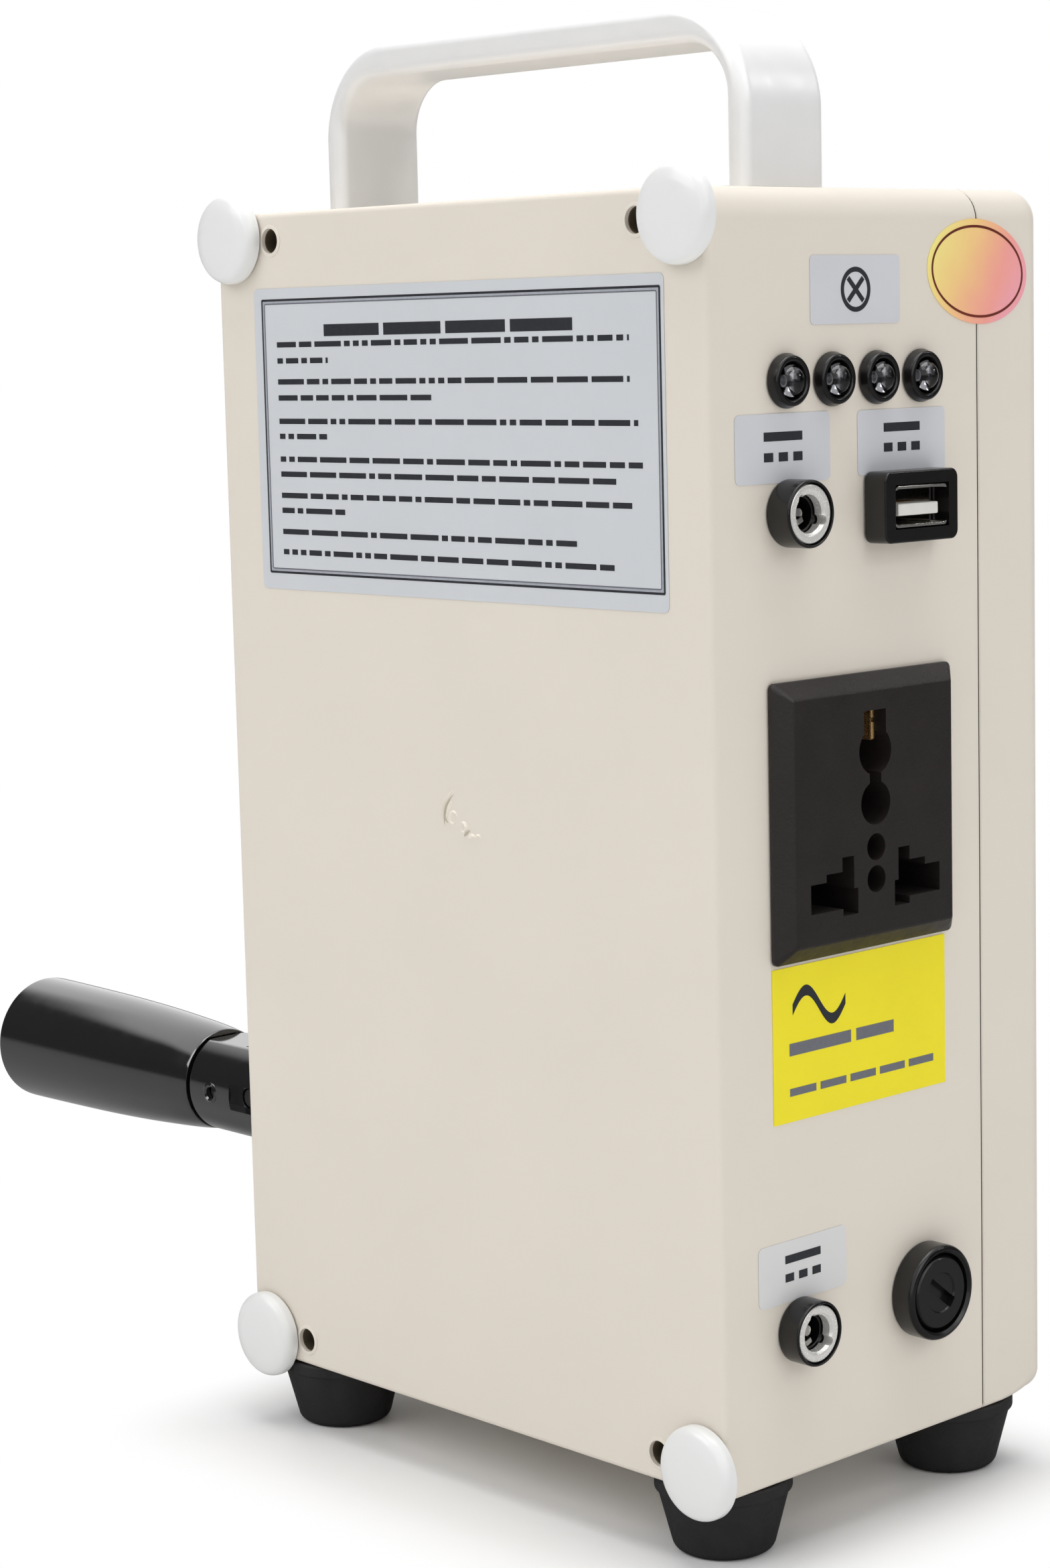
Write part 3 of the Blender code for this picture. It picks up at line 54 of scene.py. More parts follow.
BODY_OF = {node: body for body, members in RECORD["behaviour"]["bodies"].items() for node in members}

RIGHT = Vector((1, 0, 0))
LEFT = Vector((-1, 0, 0))
FRONT = Vector((0, 1, 0))
REAR = Vector((0, -1, 0))
UP = Vector((0, 0, 1))
DOWN = Vector((0, 0, -1))

# The casing's faces, read from the frame
SHELL_LOW, SHELL_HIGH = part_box("rear_shell")
COVER_LOW, COVER_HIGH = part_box("front_cover")
CASE_W = SHELL_HIGH.x - SHELL_LOW.x
CASE_H = SHELL_HIGH.z - SHELL_LOW.z
SIDE_X = SHELL_HIGH.x
REAR_Y = SHELL_LOW.y
TOP_Z = SHELL_HIGH.z

# Wall of the casing, gap between pieces, least gap, broken edge of a bore, reach of a cutter past a face
WALL = 0.0025
GAP = 0.0003
CLEAR = 0.0001
LEAD = 0.0004
OVER = 0.001


def case(x, y, z):
    """World place of a point given from the casing's left, rear and bottom faces."""
    return Vector((SHELL_LOW.x + x, REAR_Y + y, SHELL_LOW.z + z))


def middle(node):
    low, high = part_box(node)
    return (low + high) / 2


def extent(node):
    low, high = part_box(node)
    return high - low


def on(node, **places):
    """A node's middle, put at given places along some axes."""
    at = middle(node)
    for axis, value in places.items():
        setattr(at, axis, value)
    return at


def tilted(degrees):
    """A direction in the plane of the socket side, turned up from the front."""
    angle = math.radians(degrees)
    return FRONT * math.cos(angle) + UP * math.sin(angle)


def on_side(node):
    """A round node of the socket side: its axis at the face, radius, and reach out and in."""
    low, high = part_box(node)
    return on(node, x=SIDE_X), (high.y - low.y) / 2, high.x - SIDE_X, SIDE_X - low.x


def on_top(node):
    """The same for a round node of the top."""
    low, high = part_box(node)
    return on(node, z=TOP_Z), (high.x - low.x) / 2, high.z - TOP_Z, TOP_Z - low.z


def trimmed(node, margin, **spans):
    """A node's box, drawn in by a margin for each axis, or with its span along an axis given."""
    low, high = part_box(node)
    low = low + Vector(margin)
    high = high - Vector(margin)
    for axis, (start, end) in spans.items():
        setattr(low, axis, start)
        setattr(high, axis, end)
    return low, high


# Materials

def linear(colour):
    """Linear values of an sRGB colour from 0 to 255."""
    shares = (value / 255 for value in colour)
    return [share / 12.92 if share < 0.04045 else ((share + 0.055) / 1.055) ** 2.4 for share in shares]


def feed(tree, node, sockets):
    """Give each socket of a node its value, or a link from another node's output."""
    for socket, value in sockets.items():
        if isinstance(value, bpy.types.NodeSocket):
            tree.links.new(value, node.inputs[socket])
        else:
            node.inputs[socket].default_value = value


def add(tree, kind, sockets, output, **settings):
    """A new shader node, of which the named output is returned."""
    node = tree.nodes.new("ShaderNode" + kind)
    for setting, value in settings.items():
        setattr(node, setting, value)
    feed(tree, node, sockets)
    return node.outputs[output]


def shader(name):
    material = bpy.data.materials.new(name)
    material.use_nodes = True
    return material, material.node_tree, material.node_tree.nodes["Principled BSDF"]


def noise(tree, scale, detail=3.0):
    """Noise over the object's own place in metres."""
    spot = add(tree, "TexCoord", {}, "Object")
    return add(tree, "TexNoise", {"Vector": spot, "Scale": scale, "Detail": detail}, "Fac")


def spread(tree, value, low, high):
    """Noise stretched over a range, from its usual 0.3 to 0.7."""
    ends = {"Value": value, "From Min": 0.3, "From Max": 0.7, "To Min": low, "To Max": high}
    return add(tree, "MapRange", ends, "Result")


def blend_colours(tree, factor, first, second):
    sockets = {"Factor": factor, "A": (*first, 1), "B": (*second, 1)}
    return add(tree, "Mix", sockets, "Result", data_type='RGBA')


def finish(name, srgb, roughness, metallic=0.0, *, mottle, rough_spread=0.05, grain=None, **sockets):
    """A surface that varies a little; mottle is a share and a scale, grain a scale and a depth."""
    material, tree, principled = shader(name)
    share, scale = mottle
    colour = linear(srgb)
    darker = [value * (1 - share) for value in colour]
    lighter = [min(1, value * (1 + share)) for value in colour]
    feed(tree, principled, {
        "Base Color": blend_colours(tree, spread(tree, noise(tree, scale), 0, 1), darker, lighter),
        "Roughness": spread(tree, noise(tree, scale * 6), roughness - rough_spread, roughness + rough_spread),
        "Metallic": metallic})
    if grain:
        relief = {"Strength": 1.0, "Distance": grain[1], "Height": noise(tree, grain[0], 2.0)}
        feed(tree, principled, {"Normal": add(tree, "Bump", relief, "Normal")})
    for socket, value in sockets.items():
        principled.inputs[socket.replace("_", " ").title().replace("Ior", "IOR")].default_value = value
    return material


def clear_finish(name, colour, roughness):
    material, tree, principled = shader(name)
    darker = [value * 0.96 for value in colour]
    feed(tree, principled, {
        "Base Color": blend_colours(tree, spread(tree, noise(tree, 300), 0, 1), darker, colour),
        "Transmission Weight": 1.0, "Roughness": roughness, "IOR": 1.5})
    return material


BEIGE = finish("beige_abs", (230, 222, 210), 0.42, mottle=(0.012, 25), grain=(3200, 0.000006),
               specular_ior_level=0.35)
# Darker and lighter beige that paint the shadow and the highlight on the gate mark's ridges
GATE_PAINTED_SHADOW = finish("gate_painted_shadow", (196, 187, 172), 0.5, mottle=(0.01, 200))
GATE_PAINTED_HIGHLIGHT = finish("gate_painted_highlight", (246, 240, 226), 0.3, mottle=(0.01, 200))
BLACK = finish("black_abs", (20, 18, 18), 0.22, mottle=(0.12, 120), grain=(1800, 0.000010),
               specular_ior_level=0.5)
SOCKET_BLACK = finish("socket_black", (38, 33, 32), 0.42, mottle=(0.10, 90), grain=(1900, 0.000060),
                      specular_ior_level=0.45)
GLOSS_BLACK = finish("gloss_black", (22, 22, 24), 0.13, mottle=(0.10, 60), rough_spread=0.03,
                     grain=(700, 0.000004), specular_ior_level=1.0, coat_weight=1.0, coat_roughness=0.08,
                     coat_ior=1.7)
RUBBER = finish("black_rubber", (42, 41, 42), 0.58, mottle=(0.10, 200), grain=(3000, 0.00003),
                specular_ior_level=0.3)
MILKY = finish("milky_rubber", (238, 239, 238), 0.3, mottle=(0.004, 40), rough_spread=0.0, coat_weight=0.4,
               specular_ior_level=0.4)
ALUMINIUM = finish("anodised_aluminium", (250, 250, 250), 0.38, 0.20, mottle=(0.015, 60),
                   grain=(5000, 0.000008))
STEEL = finish("zinc_steel", (190, 191, 194), 0.34, 1.0, mottle=(0.06, 300), grain=(3000, 0.00001))
BLACK_STEEL = finish("painted_steel", (46, 46, 47), 0.38, mottle=(0.08, 150), grain=(1800, 0.00003))
NICKEL = finish("bright_nickel", (232, 229, 224), 0.14, 1.0, mottle=(0.04, 400), grain=(2600, 0.000004))
RING_METAL = finish("bright_ring", (250, 248, 244), 0.24, 0.45, mottle=(0.02, 400))
BRASS = finish("bare_brass", (214, 174, 116), 0.26, 0.8, mottle=(0.10, 500), grain=(4000, 0.00001))
WHITE = finish("white_nylon", (228, 226, 220), 0.38, mottle=(0.03, 300))
NYLON = finish("natural_nylon", (218, 214, 202), 0.50, mottle=(0.03, 200))
BOARD = finish("solder_mask", (34, 104, 62), 0.42, mottle=(0.12, 600))
WRAP = finish("shrink_wrap", (52, 92, 168), 0.34, mottle=(0.08, 150))
EPOXY = clear_finish("clear_epoxy", (0.34, 0.34, 0.36), 0.03)
SILVER_FILM = finish("silver_film", (210, 213, 217), 0.40, mottle=(0.015, 40), grain=(900, 0.000004),
                     specular_ior_level=0.5)
GREY_FILM = finish("grey_film", (213, 214, 219), 0.34, mottle=(0.02, 60), grain=(900, 0.000004))
PALE_FILM = finish("pale_film", (222, 222, 222), 0.36, mottle=(0.015, 60))
YELLOW_FILM = finish("yellow_film", (250, 234, 20), 0.38, mottle=(0.02, 60), grain=(900, 0.000004))
PRINT = finish("printed_line", (44, 46, 52), 0.45, mottle=(0.12, 900))
PALE_PRINT = finish("printed_pale", (168, 172, 180), 0.45, mottle=(0.06, 900))
GREY_PRINT = finish("printed_grey", (112, 114, 122), 0.45, mottle=(0.06, 900))
BROWN_PRINT = finish("seal_ring", (112, 40, 26), 0.4, mottle=(0.2, 150))
# Black for the USB tongue's base and the lamp plugs; on the mains slot floors it paints the shade in the
# slots
DARK = finish("dark_bore", (20, 19, 19), 0.6, mottle=(0.2, 800))
# Dark brown that paints the shadow in the gap between the shells
SEAM_SHADOW = finish("parting_shadow", (58, 51, 41), 0.7, mottle=(0.1, 200))
# Darker beige that paints the shade deep inside the screw bores
PAINTED_BORE_SHADE = finish("painted_bore_shade", (88, 78, 62), 0.6, mottle=(0.1, 300))


# Mesh tools

SHARP = math.radians(32)
MERGE = 1e-7


def linked(name, data):
    obj = bpy.data.objects.new(name, data)
    bpy.context.scene.collection.objects.link(obj)
    return obj


def baked(name, bm):
    mesh = bpy.data.meshes.new(name)
    bm.to_mesh(mesh)
    bm.free()
    return mesh


def show(name, bm, material, sharp=SHARP):
    """A new object from a bmesh in world metres, smooth but for its sharp edges."""
    bmesh.ops.recalc_face_normals(bm, faces=bm.faces)
    mesh = baked(name, bm)
    mesh.shade_smooth()
    mesh.set_sharp_from_angle(angle=sharp)
    if material:
        mesh.materials.append(material)
    return linked(name, mesh)


def place(bm, at, across, upward):
    """Move a bmesh drawn in (u, v, w) to a point, with u and v along two directions."""
    turn = Matrix((across, upward, across.cross(upward))).transposed().to_4x4()
    bmesh.ops.transform(bm, matrix=Matrix.Translation(at) @ turn, verts=bm.verts)


def point(bm, at, toward):
    """Move a bmesh drawn along Z to a point and along a direction."""
    turn = toward.to_track_quat('Z', 'Y').to_matrix().to_4x4()
    bmesh.ops.transform(bm, matrix=Matrix.Translation(at) @ turn, verts=bm.verts)


def arc(centre_u, centre_v, radius, start, end, steps):
    """Points on an arc, angles in degrees."""
    points = []
    for step in range(steps + 1):
        angle = math.radians(start + (end - start) * step / steps)
        points.append((centre_u + radius * math.cos(angle), centre_v + radius * math.sin(angle)))
    return points


def circle(radius, sides=48):
    return arc(0, 0, radius, 0, 360 * (1 - 1 / sides), sides - 1)


def nose(u, v, radius, steps, start=90):
    """Points that round the outer upper corner (u, v) of a profile."""
    return arc(u - radius, v - radius, radius, start, 0, steps)


def rounded(width, height, radius, steps=8, lower_radius=None):
    """A rectangle with rounded corners; the two lower ones may have their own radius."""
    low_r = lower_radius or radius
    u = width / 2
    v = height / 2
    return (arc(u - radius, v - radius, radius, 0, 90, steps)
            + arc(radius - u, v - radius, radius, 90, 180, steps)
            + arc(low_r - u, low_r - v, low_r, 180, 270, steps)
            + arc(u - low_r, low_r - v, low_r, 270, 360, steps))


def barrel(radius, neck, inside, bore=0.0):
    """The end of a profile: from its radius at the face to a neck in the hole, and to its bore."""
    return [(radius, GAP), (neck, GAP), (neck, -inside), (bore, -inside)]


def turned(name, profile, at, toward, material, steps=64):
    """Turn a profile of (radius, height) about an axis; it is closed unless both ends are on the axis."""
    bm = bmesh.new()
    verts = [bm.verts.new((radius, 0, height)) for radius, height in profile]
    edges = [bm.edges.new(pair) for pair in zip(verts, verts[1:])]
    if max(profile[0][0], profile[-1][0]) > MERGE:
        edges.append(bm.edges.new((verts[-1], verts[0])))
    bmesh.ops.spin(bm, geom=verts + edges, cent=(0, 0, 0), axis=(0, 0, 1), angle=math.tau, steps=steps,
                   use_merge=True)
    bmesh.ops.remove_doubles(bm, verts=bm.verts, dist=MERGE)
    point(bm, at, toward)
    return show(name, bm, material)


def rod(name, radius, length, at, toward, material=None, sides=32):
    bm = bmesh.new()
    bmesh.ops.create_cone(bm, cap_ends=True, segments=sides, radius1=radius, radius2=radius, depth=length)
    point(bm, at + toward * (length / 2), toward)
    return show(name, bm, material)


def soften(bm, width, segments=3, angle=30):
    """Round every edge sharper than an angle."""
    edges = [e for e in bm.edges if len(e.link_faces) == 2 and e.calc_face_angle() > math.radians(angle)]
    bmesh.ops.bevel(bm, geom=edges, offset=width, segments=segments, affect='EDGES', profile=0.5,
                    clamp_overlap=True)


def block(name, low, high, material=None, rounding=0.0, segments=3):
    bm = bmesh.new()
    bmesh.ops.create_cube(bm, size=1)
    bmesh.ops.scale(bm, vec=high - low, verts=bm.verts)
    bmesh.ops.translate(bm, vec=(low + high) / 2, verts=bm.verts)
    if rounding:
        soften(bm, rounding, segments)
    return show(name, bm, material)


def beam(name, start_x, end_x, centre, width, height, material=None, rounding=0.0, segments=3):
    """A block along X, with its width along Y and its height along Z about a centre."""
    low = Vector((start_x, centre.y - width / 2, centre.z - height / 2))
    high = Vector((end_x, centre.y + width / 2, centre.z + height / 2))
    return block(name, low, high, material, rounding, segments)


def flat(name, outlines, thickness, at, across, upward, material=None, rounding=0.0, segments=3):
    """A flat piece centred on its plane: the first outline is outside, the others are holes."""
    curve = bpy.data.curves.new("outline", 'CURVE')
    curve.dimensions = '2D'
    curve.fill_mode = 'BOTH'
    curve.extrude = thickness / 2
    for outline in outlines:
        spline = curve.splines.new('POLY')
        spline.points.add(len(outline) - 1)
        for spot, (u, v) in zip(spline.points, outline):
            spot.co = (u, v, 0, 1)
        spline.use_cyclic_u = True
    guide = linked("outline", curve)
    bpy.context.view_layer.update()
    mesh = bpy.data.meshes.new_from_object(guide.evaluated_get(bpy.context.evaluated_depsgraph_get()))
    bpy.data.objects.remove(guide, do_unlink=True)
    bm = bmesh.new()
    bm.from_mesh(mesh)
    bpy.data.meshes.remove(mesh)
    bmesh.ops.remove_doubles(bm, verts=bm.verts, dist=MERGE)
    bmesh.ops.recalc_face_normals(bm, faces=bm.faces)
    if rounding:
        bmesh.ops.dissolve_limit(bm, angle_limit=math.radians(1), verts=bm.verts, edges=bm.edges)
        soften(bm, rounding, segments, 50)
    place(bm, at, across, upward)
    return show(name, bm, material)


def loft(rings):
    """A closed skin over rings of equally many points, with its first and last ring filled."""
    bm = bmesh.new()
    loops = [[bm.verts.new(spot) for spot in ring] for ring in rings]
    for first, second in zip(loops, loops[1:]):
        for index in range(len(first)):
            after = (index + 1) % len(first)
            bm.faces.new((first[index], first[after], second[after], second[index]))
    bm.faces.new(loops[0])
    bm.faces.new(loops[-1])
    return bm


def shape(obj, operation, others):
    """Cut others out of an object, or join them to it, at once and for good."""
    for other in others:
        modifier = obj.modifiers.new("Shape", 'BOOLEAN')
        modifier.operation = operation
        modifier.solver = 'EXACT'
        modifier.object = other
        bpy.context.view_layer.update()
        mesh = bpy.data.meshes.new_from_object(obj.evaluated_get(bpy.context.evaluated_depsgraph_get()))
        obj.modifiers.remove(modifier)
        old = obj.data
        spent = other.data
        obj.data = mesh
        mesh.name = obj.name
        bpy.data.objects.remove(other, do_unlink=True)
        bpy.data.meshes.remove(old)
        bpy.data.meshes.remove(spent)
    obj.data.shade_smooth()
    obj.data.set_sharp_from_angle(angle=SHARP)


def cut(obj, *others):
    shape(obj, 'DIFFERENCE', others)


def join(obj, *others):
    shape(obj, 'UNION', others)


def belongs(piece, node, replaced=()):
    """Put a piece on a CAD node's body, evenly shaded."""
    weigh = piece.modifiers.new("Even shading", 'WEIGHTED_NORMAL')
    weigh.keep_sharp = True
    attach(piece, BODY_OF[node])
    if replaced:
        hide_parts(*replaced)
    return piece


def stand_for(piece, node):
    """Show a fine piece in place of a CAD node."""
    return belongs(piece, node, [node])


# Casing

TOP_R = 0.0060
LOW_R = 0.0012
REAR_EDGE_R = 0.0012
COVER_EDGE_R = 0.0055
COVER_LOW_R = 0.0042
EDGE_BREAK = 0.00025
SEAM_INSET = 0.0002
CORNER_STEPS = 10


def ring(y, inset, top_r, low_r):
    """One section of the casing at a depth, drawn in from its full outline."""
    centre = case(CASE_W / 2, 0, CASE_H / 2)
    outline = rounded(CASE_W - inset * 2, CASE_H - inset * 2, top_r, CORNER_STEPS, low_r)
    return [(centre.x + u, y, centre.z + v) for u, v in outline]


def tub(name, open_y, closed_y, edge_r, end_low_r):
    """A shell of the casing: open at the parting plane, with a rounded edge round its broad face."""
    inward = math.copysign(1, closed_y - open_y)
    rings = [ring(closed_y - inward * WALL, WALL, TOP_R - WALL, LOW_R),
             ring(open_y, WALL, TOP_R - WALL, LOW_R),
             ring(open_y, EDGE_BREAK, TOP_R - EDGE_BREAK, LOW_R),
             ring(open_y + inward * EDGE_BREAK, 0, TOP_R, LOW_R)]
    for step in range(1, CORNER_STEPS + 1):
        share = step / CORNER_STEPS
        depth = edge_r * (3 - 2 * share)
        rings.append(ring(closed_y - inward * depth, 0, TOP_R, LOW_R + (end_low_r - LOW_R) * share ** 2))
    for step in range(1, CORNER_STEPS + 1):
        angle = math.pi / 2 * step / CORNER_STEPS
        inset = edge_r * (1 - math.cos(angle))
        depth = edge_r * (1 - math.sin(angle))
        rings.append(ring(closed_y - inward * depth, inset, max(TOP_R - inset, EDGE_BREAK),
                          max(end_low_r - inset, EDGE_BREAK)))
    return show(name, loft(rings), BEIGE, math.radians(25))


SCREW_NODES = [f"case_screw_{number}" for number in range(1, 5)]
BOSS_R = 0.0049
BOSS_END = 0.0190
HEAD_BORE_R = 0.00255
HEAD_SEAT = 0.0130
SHANK_BORE_R = 0.0018
RIM_R = 0.0033
RIM_H = 0.00022
# Depths of the darker sleeve that paints the shade inside each screw bore
BORE_SHADE_START = 0.0007
BORE_SHADE_END = 0.0098

# Holes through the socket side and the top: the node in each, and the hole's radius
SIDE_HOLES = (("output_jack", 0.0057), ("charge_jack", 0.0057), ("fuse_holder", 0.0067),
              *((f"led_bezel_{number}", 0.0042) for number in range(1, 5)))
TOP_HOLES = (*((f"switch_body_{number}", 0.0064) for number in range(1, 4)), ("charge_indicator", 0.0028))
BEARING_HOLE_R = 0.0083

# Windows: the node in each, and the window's margin inside the node's box
SIDE_WINDOWS = (("usb_housing", (0, 0.0016, 0.0013)), ("ac_socket_face", (0, 0.0034, 0.0038)))
METER_MARGIN = (0.0012, 0.0012, 0)


def rear_shell():
    shell = tub("rear_shell_moulding", SHELL_HIGH.y, REAR_Y, REAR_EDGE_R, LOW_R)
    bores = []
    for node in SCREW_NODES:
        join(shell, rod("boss", BOSS_R, BOSS_END - WALL / 2, on(node, y=REAR_Y + WALL / 2), FRONT))
        bores += [rod("head_bore", HEAD_BORE_R, HEAD_SEAT + GAP, on(node, y=REAR_Y - GAP), FRONT, sides=40),
                  rod("shank_bore", SHANK_BORE_R, BOSS_END, on(node, y=REAR_Y + HEAD_SEAT - GAP), FRONT)]
    cut(shell, *bores)
    through = WALL + OVER * 2
    for node, radius in SIDE_HOLES:
        cut(shell, rod("side_hole", radius, through, on(node, x=SIDE_X + OVER), LEFT, sides=40))
    for node, margin in SIDE_WINDOWS:
        cut(shell, block("window", *trimmed(node, margin, x=(SIDE_X - WALL - OVER, SIDE_X + OVER))))
    for node, radius in TOP_HOLES:
        cut(shell, rod("top_hole", radius, through, on(node, z=TOP_Z + OVER), DOWN))
    window = trimmed("meter_panel", METER_MARGIN, z=(TOP_Z - WALL * 2, TOP_Z + GAP))
    bearing_at = on("shaft_bearing", x=SHELL_LOW.x - OVER)
    cut(shell, block("meter_window", *window),
        rod("bearing_hole", BEARING_HOLE_R, through, bearing_at, RIGHT, sides=40))
    stand_for(shell, "rear_shell")
    rim = [(HEAD_BORE_R, -CLEAR), (HEAD_BORE_R, RIM_H), (RIM_R - RIM_H, RIM_H), (RIM_R, CLEAR),
           (RIM_R, -CLEAR)]
    inner = HEAD_BORE_R - CLEAR * 2
    outer = HEAD_BORE_R + CLEAR
    # A darker beige sleeve inside each bore paints the shade deep in the hole
    shade_lining = [(inner, -BORE_SHADE_START), (outer, -BORE_SHADE_START), (outer, -BORE_SHADE_END), (inner, -BORE_SHADE_END)]
    for number, node in enumerate(SCREW_NODES, 1):
        at = on(node, y=REAR_Y)
        belongs(turned(f"screw_hole_rim_{number}", rim, at, REAR, BEIGE, 48), "rear_shell")
        belongs(turned(f"screw_hole_painted_shade_{number}", shade_lining, at, REAR, PAINTED_BORE_SHADE, 48), "rear_shell")


# The mark of the moulding gate, low ridges in a lighter beige for a painted highlight and a darker beige for
# a painted shadow: for each ridge its centre, radius, width, first angle and sweep
GATE_AT = (0.0706, 0.1241)
GATE_STEPS = 28
GATE_HIGHLIGHT_RIDGES = (
    (0.0012, 0.0002, 0.0059, 0.00030, 100, 100), (0.0012, 0.0002, 0.0043, 0.00050, 118, 60),
    (-0.0008, 0.0003, 0.0011, 0.00045, 0, 320), (0.0022, -0.0014, 0.0009, 0.00045, 200, 320),
    (0.0047, -0.0052, 0.0022, 0.00050, 60, 75), (0.0064, -0.0036, 0.0009, 0.00030, 20, 140))
GATE_SHADOW_RIDGES = (
    (0.0012, 0.0002, 0.0051, 0.00036, 108, 95), (-0.0016, 0.0012, 0.0020, 0.00030, 175, 80),
    (0.0044, -0.0050, 0.0030, 0.00040, 92, 48))


def gate_mark(name, ridges, material):
    """Low ridges on the rear face, each a piece of an uneven circle that tapers to both ends."""
    bm = bmesh.new()
    for u, v, radius, width, start, sweep in ridges:
        at = case(GATE_AT[0] + u, 0, GATE_AT[1] + v)
        rows = []
        for step in range(GATE_STEPS + 1):
            share = step / GATE_STEPS
            angle = math.radians(start + sweep * share)
            uneven = radius * (1 + 0.12 * math.sin(angle * 1.7))
            swell = width * math.sin(math.pi * share)
            out = Vector((math.cos(angle), 0, math.sin(angle)))
            rows.append([bm.verts.new(at + out * (uneven - swell)),
                         bm.verts.new(at + out * uneven + REAR * swell),
                         bm.verts.new(at + out * (uneven + swell))])
        for first, second in zip(rows, rows[1:]):
            bm.faces.new((first[0], first[1], second[1], second[0]))
            bm.faces.new((first[1], first[2], second[2], second[1]))
    bmesh.ops.remove_doubles(bm, verts=bm.verts, dist=MERGE)
    belongs(show(name, bm, material), "rear_shell")


def front_cover():
    cover = tub("front_cover_moulding", COVER_LOW.y, COVER_HIGH.y, COVER_EDGE_R, COVER_LOW_R)
    outer, inner = (rounded(CASE_W - inset * 2, CASE_H - inset * 2, TOP_R - inset, CORNER_STEPS, LOW_R)
                    for inset in (SEAM_INSET, WALL))
    at = case(CASE_W / 2, (SHELL_HIGH.y + COVER_LOW.y) / 2 - REAR_Y, CASE_H / 2)
    # A dark band in the parting gap paints the shadow between the shells
    seam = flat("parting_seam", [outer, inner[::-1]], COVER_LOW.y - SHELL_HIGH.y, at, RIGHT, UP, SEAM_SHADOW)
    belongs(seam, "front_cover")
    stand_for(cover, "front_cover")


# Corner bumpers and feet

BUMPER_EDGE = 0.0022
BUMPER_CROWN = 0.14
CROWN_SHARES = (0, 0.15, 0.3, 0.45, 0.6, 0.7)


def bumper(number):
    node = f"corner_bumper_{number}"
    low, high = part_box(node)
    radius = (high.x - low.x) / 2
    height = high.y - low.y
    crown = height * BUMPER_CROWN
    profile = [(radius * share, height - crown * share ** 2) for share in CROWN_SHARES]
    profile += nose(radius, height - crown, BUMPER_EDGE, 8, 78) + [(radius, GAP), (radius - GAP, 0), (0, 0)]
    stand_for(turned(node + "_dome", profile, on(node, y=high.y), REAR, MILKY, 72), node)


LIP_H = 0.0026
LIP_TOP_R = 0.0006
LIP_LOW_R = 0.0004
NECK_INSET = 0.0006
SOLE_R = 0.0102
SOLE_EDGE = 0.0020
SOLE_RECESS = [(0.0062, 0), (0.0060, 0.0004), (0.0046, 0.0004), (0.0044, 0), (0, 0)]


def foot(number):
    node = f"rubber_foot_{number}"
    low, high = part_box(node)
    height = high.z - low.z
    lip = (high.x - low.x) / 2
    profile = ([(0, height)] + nose(lip, height, LIP_TOP_R, 4)
               + arc(lip - LIP_LOW_R, height - LIP_H + LIP_LOW_R, LIP_LOW_R, 0, -90, 3)
               + [(lip - NECK_INSET, height - LIP_H)]
               + arc(SOLE_R - SOLE_EDGE, SOLE_EDGE, SOLE_EDGE, -15, -90, 8) + SOLE_RECESS)
    stand_for(turned(node + "_rubber", profile, on(node, z=low.z), UP, RUBBER, 72), node)


# Strap handle

LEG_T = 0.0054
BAR_T = 0.0070
OUTER_BEND = 0.0195
INNER_BEND = 0.0106
STRAP_EDGE = 0.0025
BEND_STEPS = 28


def handle():
    low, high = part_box("carry_handle")
    rise = high.z - low.z
    half = (high.x - low.x) / 2
    inner = half - LEG_T
    outside = [(half, 0)] + arc(half - OUTER_BEND, rise - OUTER_BEND, OUTER_BEND, 0, 90, BEND_STEPS)
    inside = [(inner, 0)] + arc(inner - INNER_BEND, rise - BAR_T - INNER_BEND, INNER_BEND, 0, 90, BEND_STEPS)
    pairs = [(Vector((a, 0, b)), Vector((c, 0, d))) for (a, b), (c, d) in zip(outside, inside)]
    mirror = Matrix.Diagonal((-1, 1, 1))
    pairs += [(mirror @ outer, mirror @ under) for outer, under in reversed(pairs)]
    at = on("carry_handle", z=low.z)
    rings = []
    for outer, under in pairs:
        across = outer - under
        section = rounded(across.length, high.y - low.y, STRAP_EDGE, 8)
        rings.append([at + (outer + under) / 2 + across.normalized() * u + FRONT * v for u, v in section])
    strap = show("carry_handle_strap", loft(rings), ALUMINIUM, math.radians(50))
    stand_for(strap, "carry_handle")


# Lamps

LAMP_BARREL = 0.0039
LAMP_BORE = 0.0032
BEZEL_ROLL_R = 0.0007
BEZEL_ROLL_AT = 0.80
BEZEL_SLOPE = ((0.93, 0.62), (1, 0.3))
LAMP_CUP = [(0.0002, -0.0004), (0.0005, 0.0001), (0.0007, 0.0001), (0.0007, -0.0030), (0, -0.0030),
            (0, -0.0004)]


def lamp(number):
    bezel = f"led_bezel_{number}"
    face, radius, proud, inside = on_side(bezel)
    profile = (arc(radius * BEZEL_ROLL_AT, proud - BEZEL_ROLL_R, BEZEL_ROLL_R, 150, 30, 8)
               + [(radius * across, proud * out) for across, out in BEZEL_SLOPE]
               + barrel(radius, LAMP_BARREL, inside, LAMP_BORE) + [(LAMP_BORE, proud - GAP * 4)])
    stand_for(turned(bezel + "_holder", profile, face, RIGHT, BLACK), bezel)
    node = f"led_lamp_{number}"
    _, _, tip, tail = on_side(node)
    dome_r = LAMP_BORE - CLEAR
    dome = [(0, tip)] + nose(dome_r, tip, dome_r, 14, 84) + [(dome_r, -tail), (0, -tail)]
    stand_for(turned(node + "_dome", dome, face, RIGHT, EPOXY, 48), node)
    belongs(turned(f"lamp_cup_{number}", LAMP_CUP, face, RIGHT, STEEL, 24), node)
    start = -tail - CLEAR
    end = -tail - OVER
    plug = [(0, start), (LAMP_BORE, start), (LAMP_BORE, end), (0, end)]
    belongs(turned(f"lamp_plug_{number}", plug, face, RIGHT, DARK, 32), node)


# Round jacks

